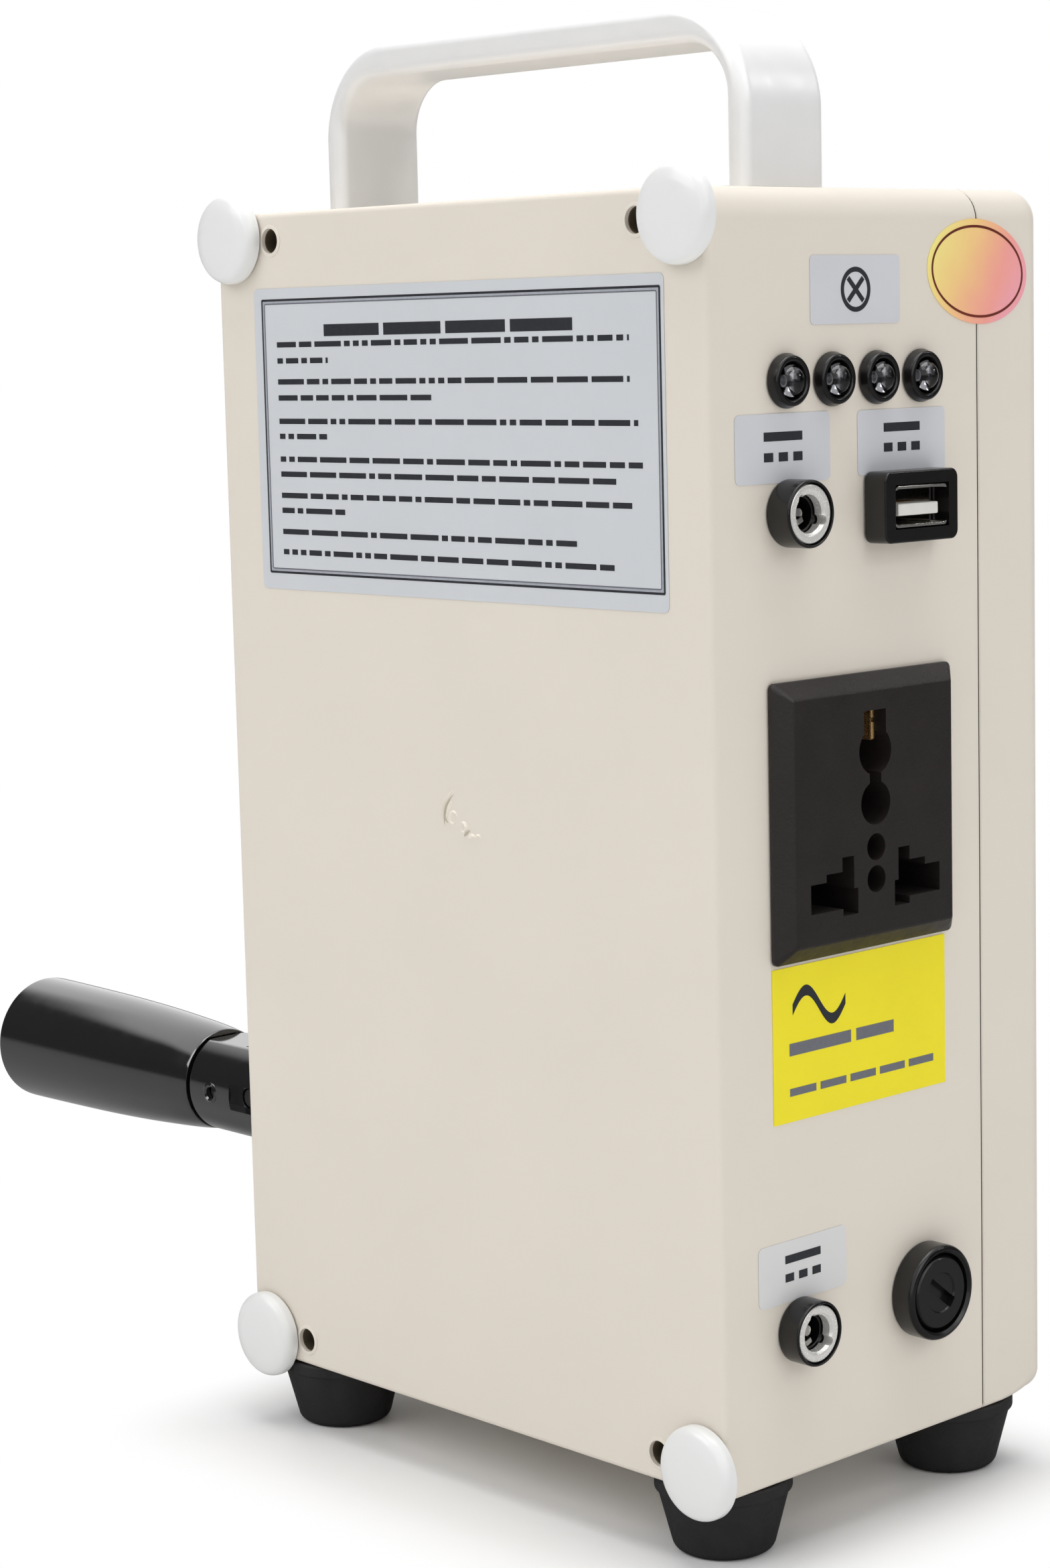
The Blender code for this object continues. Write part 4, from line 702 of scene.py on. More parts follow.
JACK_BORE = 0.0030
JACK_BARREL = 0.0054
JACK_EDGE = 0.00045
JACK_DEPTH = 0.0110
JACK_PIN = (0.0010, 0.0078)
JACK_RING_R = 0.0055
JACK_RING_SEAT = 0.0029
RING_LEAD = 0.0006
RING_EDGE = 0.0003
NOTCH_R = 0.0009
NOTCH_AT = 0.0036
NOTCH_DEPTH = 0.0060
NOTCH_APART = 150
SPRING_AT = 0.0026
SPRING_T = 0.0016
SPRING_TAB = (0.0016, 0.0011, 0.0002)
SPRING_TURN = 205


def jack(node, turn):
    face, radius, proud, inside = on_side(node)
    seat = proud - JACK_RING_SEAT
    well = JACK_RING_R + GAP
    floor = proud - JACK_DEPTH
    profile = ([(0, floor), (JACK_BORE, floor), (JACK_BORE, seat), (well, seat), (well, proud - CLEAR)]
               + nose(radius, proud, JACK_EDGE, 5) + barrel(radius, JACK_BARREL, inside))
    stand_for(turned(node + "_collar", profile, face, RIGHT, BLACK, 72), node)
    belongs(rod(node + "_pin", *JACK_PIN, face + RIGHT * (floor - CLEAR * 2), RIGHT, NICKEL), node)
    front = proud - GAP
    lip = JACK_BORE + GAP * 2
    profile = ([(lip + LEAD, front - CLEAR), (lip + RING_LEAD, front)]
               + nose(JACK_RING_R, front, RING_EDGE, 3)
               + [(JACK_RING_R, seat + GAP), (lip, seat + GAP), (lip, front - RING_LEAD)])
    bright = turned(node + "_bright_ring", profile, face, RIGHT, RING_METAL, 72)
    for degrees in (turn, turn + NOTCH_APART):
        notch_at = face + tilted(degrees) * NOTCH_AT + RIGHT * (seat - OVER)
        cut(bright, rod("notch", NOTCH_R, NOTCH_DEPTH, notch_at, RIGHT))
    stand_for(bright, node + "_ring")
    out = tilted(SPRING_TURN)
    tab = flat(node + "_spring", [rounded(*SPRING_TAB, 3)], SPRING_T,
               face + out * SPRING_AT + RIGHT * (proud - SPRING_T), out, RIGHT.cross(out), NICKEL,
               rounding=0.00015, segments=2)
    belongs(tab, node)


# USB outlet

USB_CORNER = 0.0018
USB_NECK = (0.0174, 0.0104)
USB_METAL = 0.0005
USB_SHIELD_R = 0.0008
USB_CHEEK = 0.0040
BLADE_W = 0.0116
BLADE_T = 0.0023
BLADE_DROP = 0.0006
TONGUE_BASE = 0.0028
CONTACT_STEP = 0.0024
CONTACT_START = 0.0040
CONTACT_END = 0.0045
CONTACT_W = 0.0012


def usb():
    low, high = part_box("usb_housing")
    centre = middle("usb_housing")
    _, width, height = extent("usb_housing")
    length, shield_w, shield_h = extent("usb_shield")
    shield_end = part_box("usb_shield")[1].x
    hole_w = shield_w + GAP * 2
    hole_h = shield_h + GAP * 2
    depth = high.x - SIDE_X - GAP
    head = flat("usb_housing_block", [rounded(width, height, USB_CORNER)], depth,
                on("usb_housing", x=SIDE_X + GAP + depth / 2), FRONT, UP, BLACK,
                rounding=0.0004)
    join(head, beam("neck", low.x, SIDE_X + GAP * 4, centre, *USB_NECK))
    cut(head, beam("bore", low.x - GAP, high.x + GAP, centre, hole_w, hole_h))
    stand_for(head, "usb_housing")
    outer = rounded(shield_w, shield_h, USB_SHIELD_R, 6)
    inner = rounded(shield_w - USB_METAL * 2, shield_h - USB_METAL * 2, USB_SHIELD_R / 2, 6)
    at = on("usb_housing", x=middle("usb_shield").x)
    shield = flat("usb_shield_shell", [outer, inner[::-1]], length, at, FRONT, UP, NICKEL,
                  rounding=0.00012, segments=2)
    for side in (-1, 1):
        edge = centre + FRONT * (side * hole_w / 2)
        cut(shield, beam("cheek", shield_end - USB_CHEEK, shield_end + GAP, edge, USB_METAL * 4,
                         hole_h - USB_METAL * 4))
    stand_for(shield, "usb_shield")
    tongue_low, tongue_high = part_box("usb_tongue")
    blade = centre + DOWN * BLADE_DROP
    stand_for(beam("usb_tongue_blade", tongue_low.x + GAP, tongue_high.x, blade, BLADE_W, BLADE_T, WHITE,
                   rounding=0.0003), "usb_tongue")
    base = trimmed("usb_tongue", (0, 0, 0), x=(tongue_low.x, tongue_low.x + TONGUE_BASE))
    belongs(block("usb_tongue_base", *base, DARK, rounding=0.0002, segments=2), "usb_tongue")
    for number in range(4):
        at = blade + FRONT * ((number - 1.5) * CONTACT_STEP) + UP * (BLADE_T + CLEAR) / 2
        contact = beam(f"usb_contact_{number + 1}", tongue_low.x + CONTACT_START, tongue_high.x - CONTACT_END,
                       at, CONTACT_W, CLEAR, BRASS, rounding=0.00004, segments=2)
        belongs(contact, "usb_tongue")


# Mains socket

BLADE_SLOT_SHARES = (
    (-0.362, -0.220), (-0.277, -0.220), (-0.277, -0.192), (-0.189, -0.192), (-0.189, -0.141),
    (-0.125, -0.141), (-0.125, -0.259), (-0.103, -0.259), (-0.103, -0.352), (-0.187, -0.352),
    (-0.187, -0.326), (-0.362, -0.326))
ROUND_HOLES = ((0.0046, 0.0119), (0.0042, 0.0019), (0.0026, -0.0066), (0.0026, -0.0128))
SQUARE_HOLES = ((0.0158, 0.0063, 0.0078), (0.0069, 0.0033, 0.0100))
PLATE_CHAMFER = 0.0031
PLATE_CORNER = 0.0012
PLATE_FOOT = ((0, 0), (0.0006, 0), (0.0008, 0.00008))
PLATE_FACE = ((0.0003, -0.0002, 0.5), (0.0001, 0.0001, 0.45), (0, 0.0005, 0.4))
MAINS_BLOCK = (0.0440, 0.0450)
MAINS_DEPTH = 0.0160
FLOOR_SIZE = 0.0410
LEAF_SIDE = 0.00245
LEAF_FOOT = 0.0134
LEAF_T = 0.0009
LEAF_DEPTH = 0.0034
LEAF_ROLLS = ((0.0137, 0.0032), (0.0178, 0.0016))


def mains_socket():
    low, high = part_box("ac_socket_face")
    centre = middle("ac_socket_face")
    _, width, height = extent("ac_socket_face")
    base_x = SIDE_X + GAP
    face_x = high.x
    sections = ([(base_x + rise, inset, PLATE_CORNER) for rise, inset in PLATE_FOOT]
                + [(face_x - drop, PLATE_CHAMFER + more, PLATE_CORNER * share)
                   for drop, more, share in PLATE_FACE])
    rings = [[(x, centre.y + u, centre.z + v)
              for u, v in rounded(width - inset * 2, height - inset * 2, corner_r, 6)]
             for x, inset, corner_r in sections]
    plate = show("ac_socket_plate", loft(rings), SOCKET_BLACK, math.radians(22))
    join(plate, beam("block", low.x, base_x + PLATE_FOOT[-1][0], centre, *MAINS_BLOCK))
    floor = face_x - MAINS_DEPTH
    front = face_x + OVER
    slot_at = Vector(((floor + front) / 2, centre.y, centre.z))
    slot = [(u * width, v * height) for u, v in BLADE_SLOT_SHARES]
    for outline in (slot, [(-u, v) for u, v in slot]):
        cut(plate, flat("slot", [outline], front - floor, slot_at, FRONT, UP))
    for rise, hole_w, hole_h in SQUARE_HOLES:
        cut(plate, beam("square_hole", floor, front, centre + UP * rise, hole_w, hole_h))
    for radius, rise in ROUND_HOLES:
        start = Vector((front, centre.y, centre.z + rise))
        cut(plate, rod("round_hole", radius, front - floor, start, LEFT, sides=48))
    stand_for(plate, "ac_socket_face")
    # A black sheet on the slot floors, darker than the socket plastic, paints the shade deep in the slots
    shade_lining = beam("ac_slot_floor", floor + CLEAR, floor + CLEAR * 4, centre, FLOOR_SIZE, FLOOR_SIZE, DARK,
                  rounding=0.0001, segments=1)
    belongs(shade_lining, "ac_socket_face")
    contact_low, contact_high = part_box("ac_contact")
    stand_for(block("ac_contact_leaf", contact_low, contact_high, BRASS, rounding=0.0002), "ac_contact")
    side_y = centre.y + LEAF_SIDE
    spring = block("ac_contact_spring", Vector((contact_low.x, side_y, centre.z + LEAF_FOOT)),
                   Vector((face_x - LEAF_DEPTH, side_y + LEAF_T, contact_high.z)), BRASS,
                   rounding=0.0001, segments=2)
    belongs(spring, "ac_contact")
    for number, (rise, length) in enumerate(LEAF_ROLLS, 1):
        at = Vector((face_x - LEAF_DEPTH, side_y + LEAF_T / 2 - CLEAR, centre.z + rise))
        belongs(rod(f"ac_contact_roll_{number}", LEAF_T / 2 + CLEAR, length, at, UP, BRASS), "ac_contact")


# Fuse holder

FUSE_CAP_GROW = 1.10
FUSE_CAP_T = 0.0030
FUSE_EDGE = 0.0011
FUSE_LEAD = 0.0005
FUSE_BARREL = 0.0064
FUSE_BORE = 0.0029
FUSE_STEM = 0.0026
FUSE_FACE = ((0, 0.0003), (0.50, 0.0003), (0.53, 0), (0.90, 0), (0.94, 0.0002), (1, 0.0010))
FUSE_SLOT = (0.0086, 0.0023, 0.0003)
FUSE_SLOT_DEPTH = 0.0036
FUSE_SLOT_TURN = -38


def fuse():
    face, radius, proud, inside = on_side("fuse_holder")
    _, cap_r, front, stem = on_side("fuse_cap")
    cap_r *= FUSE_CAP_GROW
    back = front - FUSE_CAP_T
    well = cap_r + GAP
    profile = ([(FUSE_BORE, back - GAP), (well, back - GAP), (well, proud - FUSE_LEAD),
                (well + FUSE_LEAD, proud)]
               + nose(radius, proud, FUSE_EDGE, 8) + barrel(radius, FUSE_BARREL, inside, FUSE_BORE))
    stand_for(turned("fuse_holder_collar", profile, face, RIGHT, BLACK, 96), "fuse_holder")
    profile = ([(cap_r * share, front - drop) for share, drop in FUSE_FACE]
               + [(cap_r, back), (FUSE_STEM, back), (FUSE_STEM, -stem), (0, -stem)])
    cap = turned("fuse_cap_disc", profile, face, RIGHT, BLACK, 80)
    across = tilted(FUSE_SLOT_TURN)
    cut(cap, flat("slot", [rounded(*FUSE_SLOT, 4)], FUSE_SLOT_DEPTH, face + RIGHT * (front + CLEAR), across,
                  RIGHT.cross(across)))
    stand_for(cap, "fuse_cap")


# Top panel

METER_BORDER = (0.0022, 0.0020, 0)
METER_LENS = (0.0024, 0.0022, 0)
METER_RECESS = 0.0004
METER_BARS = 5
METER_BAR_START = 0.0050
METER_BAR_STEP = 0.0040
METER_BAR = (0.0028, 0.0044, CLEAR / 2)


def meter():
    low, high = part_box("meter_panel")
    top = high.z
    outside = trimmed("meter_panel", (0, 0, 0), z=(TOP_Z + GAP, top))
    body = block("meter_bezel", *outside, BLACK, rounding=0.0004)
    cut(body, block("recess", *trimmed("meter_panel", METER_BORDER, z=(top - METER_RECESS, top + OVER))))
    stand_for(body, "meter_panel")
    inside = trimmed("meter_panel", METER_LENS, z=(top - METER_RECESS + CLEAR / 5, top - CLEAR))
    lens = block("meter_window_lens", *inside, GLOSS_BLACK, rounding=0.0001, segments=2)
    belongs(lens, "meter_panel")
    half = Vector(METER_BAR) / 2
    for number in range(METER_BARS):
        at = on("meter_panel", x=low.x + METER_BAR_START + number * METER_BAR_STEP, z=top - CLEAR * 0.75)
        bar = block(f"meter_bar_{number + 1}", at - half, at + half, GREY_PRINT, rounding=0.00002,
                    segments=1)
        belongs(bar, "meter_panel")


INDICATOR_EDGE = 0.0008
INDICATOR_STEM = 0.0025


def indicator():
    at, radius, proud, inside = on_top("charge_indicator")
    profile = ([(0, proud)] + nose(radius, proud, INDICATOR_EDGE, 6, 80)
               + barrel(radius, INDICATOR_STEM, inside))
    stand_for(turned("charge_indicator_lens", profile, at, UP, EPOXY, 48), "charge_indicator")


SWITCH_BARREL = 0.0058
SWITCH_BORE = 0.0048
SWITCH_RIM_R = 0.0006
BUTTON_EDGE = 0.0005
BUTTON_LOWER = 0.0005
BUTTON_DISH = ((0, 0.0005), (0.35, 0.00045), (0.7, 0.0002), (0.84, 0))


def switch(number):
    node = f"switch_body_{number}"
    at, radius, top, inside = on_top(node)
    profile = ([(SWITCH_BORE, top - GAP), (SWITCH_BORE + LEAD, top)] + nose(radius, top, SWITCH_RIM_R, 5)
               + barrel(radius, SWITCH_BARREL, inside, SWITCH_BORE))
    stand_for(turned(node + "_rim", profile, at, UP, BLACK, 56), node)
    node = f"switch_button_{number}"
    _, radius, top, inside = on_top(node)
    top -= BUTTON_LOWER
    profile = ([(radius * share, top - drop) for share, drop in BUTTON_DISH]
               + nose(radius, top, BUTTON_EDGE, 5) + [(radius, -inside), (0, -inside)])
    stand_for(turned(node + "_cap", profile, at, UP, GLOSS_BLACK, 56), node)


# Crank

ARM_T = 0.0050
LUG_T = 0.0080
LUG_R = 0.0062
PIN_BORE = 0.0024
SHAFT_BORE = 0.0053


def crank():
    low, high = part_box("crank_arm")
    shaft = middle("crank_shaft")
    pivot = middle("pivot_pin")
    half_w = (high.y - low.y) / 2
    face_x = high.x - ARM_T
    outline = arc(0, 0, half_w, 0, 180, 40) + arc(0, pivot.z - shaft.z, half_w, 180, 360, 40)
    arm = flat("crank_arm_plate", [outline, circle(SHAFT_BORE)[::-1]], ARM_T,
               Vector((high.x - ARM_T / 2, shaft.y, shaft.z)), FRONT, UP, BLACK_STEEL, rounding=0.0005)
    lug = arc(pivot.x - face_x, 0, LUG_R, 90, 270, 24) + [(ARM_T / 2, -LUG_R), (ARM_T / 2, LUG_R)]
    join(arm, flat("lug", [lug], LUG_T, Vector((face_x, pivot.y, pivot.z)), RIGHT, UP, rounding=0.0004,
                   segments=2))
    cut(arm, rod("pin_hole", PIN_BORE, LUG_T * 3, pivot + REAR * LUG_T * 1.5, FRONT))
    stand_for(arm, "crank_arm")


NUT_FLATS = 0.0075
NUT_HEX = 0.0060
NUT_DOME_R = 0.0052
NUT_BORE = 0.0043
NUT_EDGE = 0.0003
NUT_OVERLAP = 0.0008


def crank_nut():
    base = on("crank_shaft", x=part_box("crank_nut")[1].x)
    bm = bmesh.new()
    bmesh.ops.create_cone(bm, cap_ends=True, segments=6, radius1=NUT_FLATS, radius2=NUT_FLATS,
                          depth=NUT_HEX)
    soften(bm, NUT_EDGE, 2)
    point(bm, base + LEFT * NUT_HEX / 2, LEFT)
    nut = show("crank_nut_hex", bm, STEEL)
    dome_h = extent("crank_nut").x - NUT_HEX
    dome = [(NUT_DOME_R * u, NUT_HEX + dome_h * v) for u, v in arc(0, 0, 1, 90, 0, 12)]
    dome += [(NUT_DOME_R, NUT_HEX - NUT_OVERLAP), (0, NUT_HEX - NUT_OVERLAP)]
    join(nut, turned("dome", dome, base, LEFT, None, 48))
    cut(nut, rod("bore", NUT_BORE, NUT_HEX + OVER, base + RIGHT * OVER, LEFT))
    stand_for(nut, "crank_nut")


FLANGE_EDGE = 0.0006
BEARING_BARREL = 0.0080


def bearing():
    low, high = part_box("shaft_bearing")
    radius = (high.y - low.y) / 2
    proud = SHELL_LOW.x - low.x
    inside = high.x - SHELL_LOW.x
    profile = ([(SHAFT_BORE, proud - LEAD), (SHAFT_BORE + LEAD, proud)] + nose(radius, proud, FLANGE_EDGE, 4)
               + barrel(radius, BEARING_BARREL, inside, SHAFT_BORE))
    at = on("shaft_bearing", x=SHELL_LOW.x)
    stand_for(turned("shaft_bearing_flange", profile, at, LEFT, STEEL), "shaft_bearing")


KNUCKLE_EDGE = 0.0009
SPINDLE_BORE = 0.0037
SPINDLE_FLOOR = 0.0022
CROSS_PIN_AT = 0.0115
CROSS_BORE = 0.0014
POCKET_SIZE = (0.0090, 0.0060)
POCKET_DEPTH = 0.0020
PIN_RIM = [(0.0013, -0.0010), (0.0013, 0.0002), (0.0018, 0.0005), (0.0024, 0.0002), (0.0025, -0.0010)]


def knuckle():
    pivot = middle("pivot_pin")
    low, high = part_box("grip_knuckle")
    radius = (high.y - low.y) / 2
    out = pivot.x - low.x
    inner = high.x - pivot.x
    profile = ([(0, out)] + nose(radius, out, KNUCKLE_EDGE, 5)
               + arc(radius - KNUCKLE_EDGE, KNUCKLE_EDGE - inner, KNUCKLE_EDGE, 0, -90, 5) + [(0, -inner)])
    body = turned("grip_knuckle_fork", profile, pivot, LEFT, GLOSS_BLACK, 96)
    slot_out = LUG_R + GAP * 2
    lug_half = LUG_T / 2 + GAP
    bore_at = slot_out + SPINDLE_FLOOR
    rear_start = pivot + REAR * radius * 1.5
    cut(body,
        block("flat_cut", Vector((low.x - OVER, pivot.y - radius - OVER, high.z)),
              Vector((high.x + OVER, pivot.y + radius + OVER, high.z + radius))),
        block("fork_cut", pivot - Vector((slot_out, lug_half, slot_out)),
              pivot + Vector((inner + OVER, lug_half, radius + OVER))),
        rod("fold_bore", PIN_BORE, radius * 3, rear_start, FRONT),
        rod("spindle_bore", SPINDLE_BORE, out - bore_at + OVER, pivot + LEFT * bore_at, LEFT),
        rod("cross_bore", CROSS_BORE, radius * 3, rear_start + LEFT * CROSS_PIN_AT, FRONT))
    pocket_w, pocket_h = POCKET_SIZE
    cheek = math.sqrt(radius ** 2 - (pocket_h / 2) ** 2) - POCKET_DEPTH
    half = Vector((pocket_w, radius + OVER - cheek, pocket_h)) / 2
    for number, side in enumerate((REAR, FRONT), 1):
        centre = pivot + side * (cheek + radius + OVER) / 2
        cut(body, block("pocket", centre - half, centre + half))
        at = pivot + LEFT * CROSS_PIN_AT + side * (radius - CLEAR * 2)
        belongs(turned(f"knuckle_pin_rim_{number}", PIN_RIM, at, side, GLOSS_BLACK, 40), "grip_knuckle")
    stand_for(body, "grip_knuckle")


# The grip's outline as shares of its length and radius
GRIP_SHARES = (
    (0.000, 0.780), (0.012, 0.795), (0.090, 0.838), (0.200, 0.878), (0.360, 0.925), (0.540, 0.960),
    (0.740, 0.982), (0.978, 0.998), (0.992, 0.985), (1.000, 0.945))
GRIP_SHORTER = 0.0026
GRIP_RECESS_R = 0.0063
GRIP_RECESS_DEPTH = 0.0037


def smooth_line(points, steps):
    """Points on a smooth curve through a row of points."""
    found = []
    last = len(points) - 1
    for index in range(last):
        around = [points[min(max(index + shift, 0), last)] for shift in (-1, 0, 1, 2)]
        for step in range(steps):
            t = step / steps
            found.append(tuple(
                b + t / 2 * (c - a + t * (2 * a - 5 * b + 4 * c - d) + t ** 2 * (3 * b - a - 3 * c + d))
                for a, b, c, d in zip(*around)))
    found.append(points[last])
    return found


def grip():
    full, width, _ = extent("crank_grip")
    length = full - GRIP_SHORTER
    floor = full - GRIP_RECESS_DEPTH
    radius = width / 2
    outer = [(share * radius, along * length) for along, share in smooth_line(GRIP_SHARES, 5)]
    profile = ([(GRIP_RECESS_R, floor), (GRIP_RECESS_R, length)] + outer[::-1]
               + [(SPINDLE_BORE, 0), (SPINDLE_BORE, floor)])
    at = on("crank_grip", x=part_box("crank_grip")[1].x)
    stand_for(turned("crank_grip_handle", profile, at, LEFT, GLOSS_BLACK, 128), "crank_grip")


# Stickers, all left without words

FILM_T = 0.00012
PRINT_T = 0.00002
PRINT_LIFT = 0.00017


def sticker(name, outline, at, material, across=FRONT, upward=UP):
    """A thin film just off the surface it is stuck to."""
    lifted = at + across.cross(upward) * (CLEAR / 4 + FILM_T / 2)
    belongs(flat(name, [outline], FILM_T, lifted, across, upward, material), "rear_shell")


def printed(name, outlines, at, material=PRINT, across=FRONT, upward=UP):
    """Flat print on a film, drawn by outlines on the film's plane."""
    lifted = at + across.cross(upward) * PRINT_LIFT
    belongs(flat(name, outlines, PRINT_T, lifted, across, upward, material), "rear_shell")


def bars(name, boxes, at, material, across=FRONT, upward=UP):
    """Printed bars, each (left, low, right, high) on the film's plane."""
    bm = bmesh.new()
    for left, low, right, high in boxes:
        bar = bmesh.ops.create_cube(bm, size=1)["verts"]
        bmesh.ops.scale(bm, vec=Vector((right - left, high - low, PRINT_T)), verts=bar)
        bmesh.ops.translate(bm, vec=((left + right) / 2, (low + high) / 2, 0), verts=bar)
    place(bm, at + across.cross(upward) * PRINT_LIFT, across, upward)
    belongs(show(name, bm, material), "rear_shell")


# The sheet and its frame on the rear face: left, low, right and high edges
SHEET = (0.0120, 0.1680, 0.1315, 0.2301)
SHEET_CORNER = 0.0012
FRAME = (0.0144, 0.1713, 0.1307, 0.2279)
FRAME_CORNER = 0.0004
# Each line of the frame: its name, how far it is drawn in, its width and print
FRAME_LINES = (("outer", 0.0, 0.00045, PRINT), ("band", 0.00092, 0.0004, PALE_PRINT),
               ("inner", 0.00176, 0.00025, GREY_PRINT))
BAR_H = 0.0011
BAR_GAP = 0.0010
BAR_LENGTHS = (0.0018, 0.0040, 0.0062, 0.0084)
TITLE_DROP = 0.0078
TITLE_H = 0.0024
TITLE_W = 0.0172
TITLE_START = 0.0200
TITLE_STEP = 0.0186
ROW_START = 0.0047
PRINT_ROWS = (
    (0.0099, 0.108), (0.0132, 0.021), (0.0175, 0.108), (0.0208, 0.053), (0.0256, 0.110), (0.0287, 0.020),
    (0.0334, 0.111), (0.0365, 0.104), (0.0409, 0.108), (0.0440, 0.025), (0.0484, 0.093), (0.0526, 0.103))


def centre_and_size(left, low, right, high):
    return case((left + right) / 2, 0, (low + high) / 2), right - left, high - low


def rear_sheet():
    """The large silver sheet: a double frame and rows of plain bars where the photograph has print."""
    at, width, height = centre_and_size(*SHEET)
    sticker("rear_sheet", rounded(width, height, SHEET_CORNER, 6), at, SILVER_FILM, RIGHT)
    at, width, height = centre_and_size(*FRAME)
    for name, inset, line, material in FRAME_LINES:
        outer = rounded(width - inset, height - inset, FRAME_CORNER, 3)
        inner = rounded(width - inset - line * 2, height - inset - line * 2, FRAME_CORNER / 2, 3)
        printed("sheet_frame_" + name, [outer, inner[::-1]], at, material, RIGHT)
    draw = random.Random(7)
    boxes = []
    for drop, end in PRINT_ROWS:
        u = ROW_START
        while u < end:
            long = draw.choice(BAR_LENGTHS)
            boxes.append((u, -drop, min(u + long, end), BAR_H - drop))
            u += long + BAR_GAP
    for number in range(4):
        left = TITLE_START + number * TITLE_STEP
        boxes.append((left, -TITLE_DROP, left + TITLE_W, TITLE_H - TITLE_DROP))
    boxes = [(left - width / 2, height / 2 + low, right - width / 2, height / 2 + high)
             for left, low, right, high in boxes]
    bars("sheet_rows", boxes, at, PRINT, RIGHT)


def direct_current(rise, size):
    """Outlines of the plain sign for direct current: a bar above three dashes."""
    line = size * 0.16
    pieces = [(-size / 2, rise + size * 0.10, size)]
    pieces += [(size * (0.38 * number - 0.5), rise - size * 0.26, size * 0.24) for number in range(3)]
    return [[(left, low), (left + long, low), (left + long, low + line), (left, low + line)]
            for left, low, long in pieces]


def alternating_current(u, v, size):
    """Outline of the plain sign for alternating current: one wave."""
    shares = [step / 32 for step in range(33)]
    wave = [(u + size * (share - 0.5), v + size * 0.22 * math.sin(math.tau * share)) for share in shares]
    half_line = size * 0.07
    return [[(a, b - half_line) for a, b in wave] + [(a, b + half_line) for a, b in reversed(wave)]]


def lamp_sign(size):
    """Outlines of the plain sign for a lamp: a circle with a cross in it."""
    line = size * 0.06
    cross = []
    for degrees in (45, 135, 225, 315):
        angle = math.radians(degrees)
        tip = Vector((math.cos(angle), math.sin(angle))) * size * 0.36
        beside = Vector((-math.sin(angle), math.cos(angle))) * line
        inward = Vector((math.cos(angle + math.pi / 4), math.sin(angle + math.pi / 4))) * line * math.sqrt(2)
        cross += [tuple(tip - beside), tuple(tip + beside), tuple(inward)]
    return [circle(size / 2), circle(size * 0.39)[::-1], cross]


# Labels on the socket side: near and far edge, low and high edge, corner radius, film and printed sign
LABELS = {
    "lamp_label": (0.0274, 0.0527, 0.2200, 0.2328, 0.0010, GREY_FILM, lamp_sign(0.0084)),
    "output_label": (0.0065, 0.0324, 0.1912, 0.2040, 0.0012, GREY_FILM, direct_current(0.0003, 0.0105)),
    "usb_label": (0.0402, 0.0656, 0.1915, 0.2038, 0.0010, GREY_FILM, direct_current(0.0008, 0.0105)),
    "charge_label": (0.0095, 0.0343, 0.0354, 0.0474, 0.0014, PALE_FILM, direct_current(0.0006, 0.0100)),
    "socket_label": (0.0144, 0.0644, 0.0703, 0.1002, 0.0002, YELLOW_FILM,
                     alternating_current(-0.0120, 0.0066, 0.0150)),
}
SOCKET_ROWS = (
    (-0.0205, -0.0022, -0.0030, 0.0002), (-0.0015, -0.0022, 0.0095, 0.0002),
    *((-0.0205 + step, -0.0100, -0.0131 + step, -0.0085) for step in (0, 0.0086, 0.0172, 0.0258, 0.0344)))


def side_labels():
    """The films beside the outlets, with general signs in place of words."""
    for name, (y0, y1, z0, z1, corner_r, film, sign) in LABELS.items():
        at = case(CASE_W, (y0 + y1) / 2, (z0 + z1) / 2)
        sticker(name, rounded(y1 - y0, z1 - z0, corner_r, 6), at, film)
        printed(name + "_sign", sign, at)
        if film == YELLOW_FILM:
            bars(name + "_rows", SOCKET_ROWS, at, GREY_PRINT)


SEAL_AT = case(CASE_W, 0.0759, 0.2295)
SEAL_SIZE = (0.0151, 0.0101)
SEAL_TWIST = -4.5
SEAL_RING = (-0.0012, -0.0017)
SEAL_SLOPE = 0.55
SEAL_SPAN = (-0.014, 0.016)
SEAL_RIPPLE = 0.006
SEAL_STOPS = ((0.0, (255, 242, 146)), (0.35, (255, 216, 142)), (0.6, (255, 192, 148)),
              (0.8, (255, 170, 158)), (1.0, (252, 172, 182)))


def seal_film():
    """A film that shades from yellow to pink along a slope, with a slight ripple."""
    material, tree, principled = shader("seal_film")
    spot = add(tree, "TexCoord", {}, "Object")
    along, height = (add(tree, "SeparateXYZ", {"Vector": spot}, axis) for axis in "YZ")
    slope = add(tree, "Math", {0: height, 1: -SEAL_SLOPE, 2: along}, "Value", operation='MULTIPLY_ADD')
    rippled = add(tree, "Math", {0: noise(tree, 160), 1: SEAL_RIPPLE, 2: slope}, "Value",
                  operation='MULTIPLY_ADD')
    centre = SEAL_AT.y - SEAL_SLOPE * SEAL_AT.z
    ends = {"Value": rippled, "From Min": centre + SEAL_SPAN[0], "From Max": centre + SEAL_SPAN[1]}
    colours = tree.nodes.new("ShaderNodeValToRGB")
    while len(colours.color_ramp.elements) < len(SEAL_STOPS):
        colours.color_ramp.elements.new(0.5)
    for element, (position, srgb) in zip(colours.color_ramp.elements, SEAL_STOPS):
        element.position = position
        element.color = (*linear(srgb), 1)
    feed(tree, colours, {"Fac": add(tree, "MapRange", ends, "Result")})
    feed(tree, principled, {"Base Color": colours.outputs["Color"], "Roughness": 0.3, "Coat Weight": 0.3})
    return material


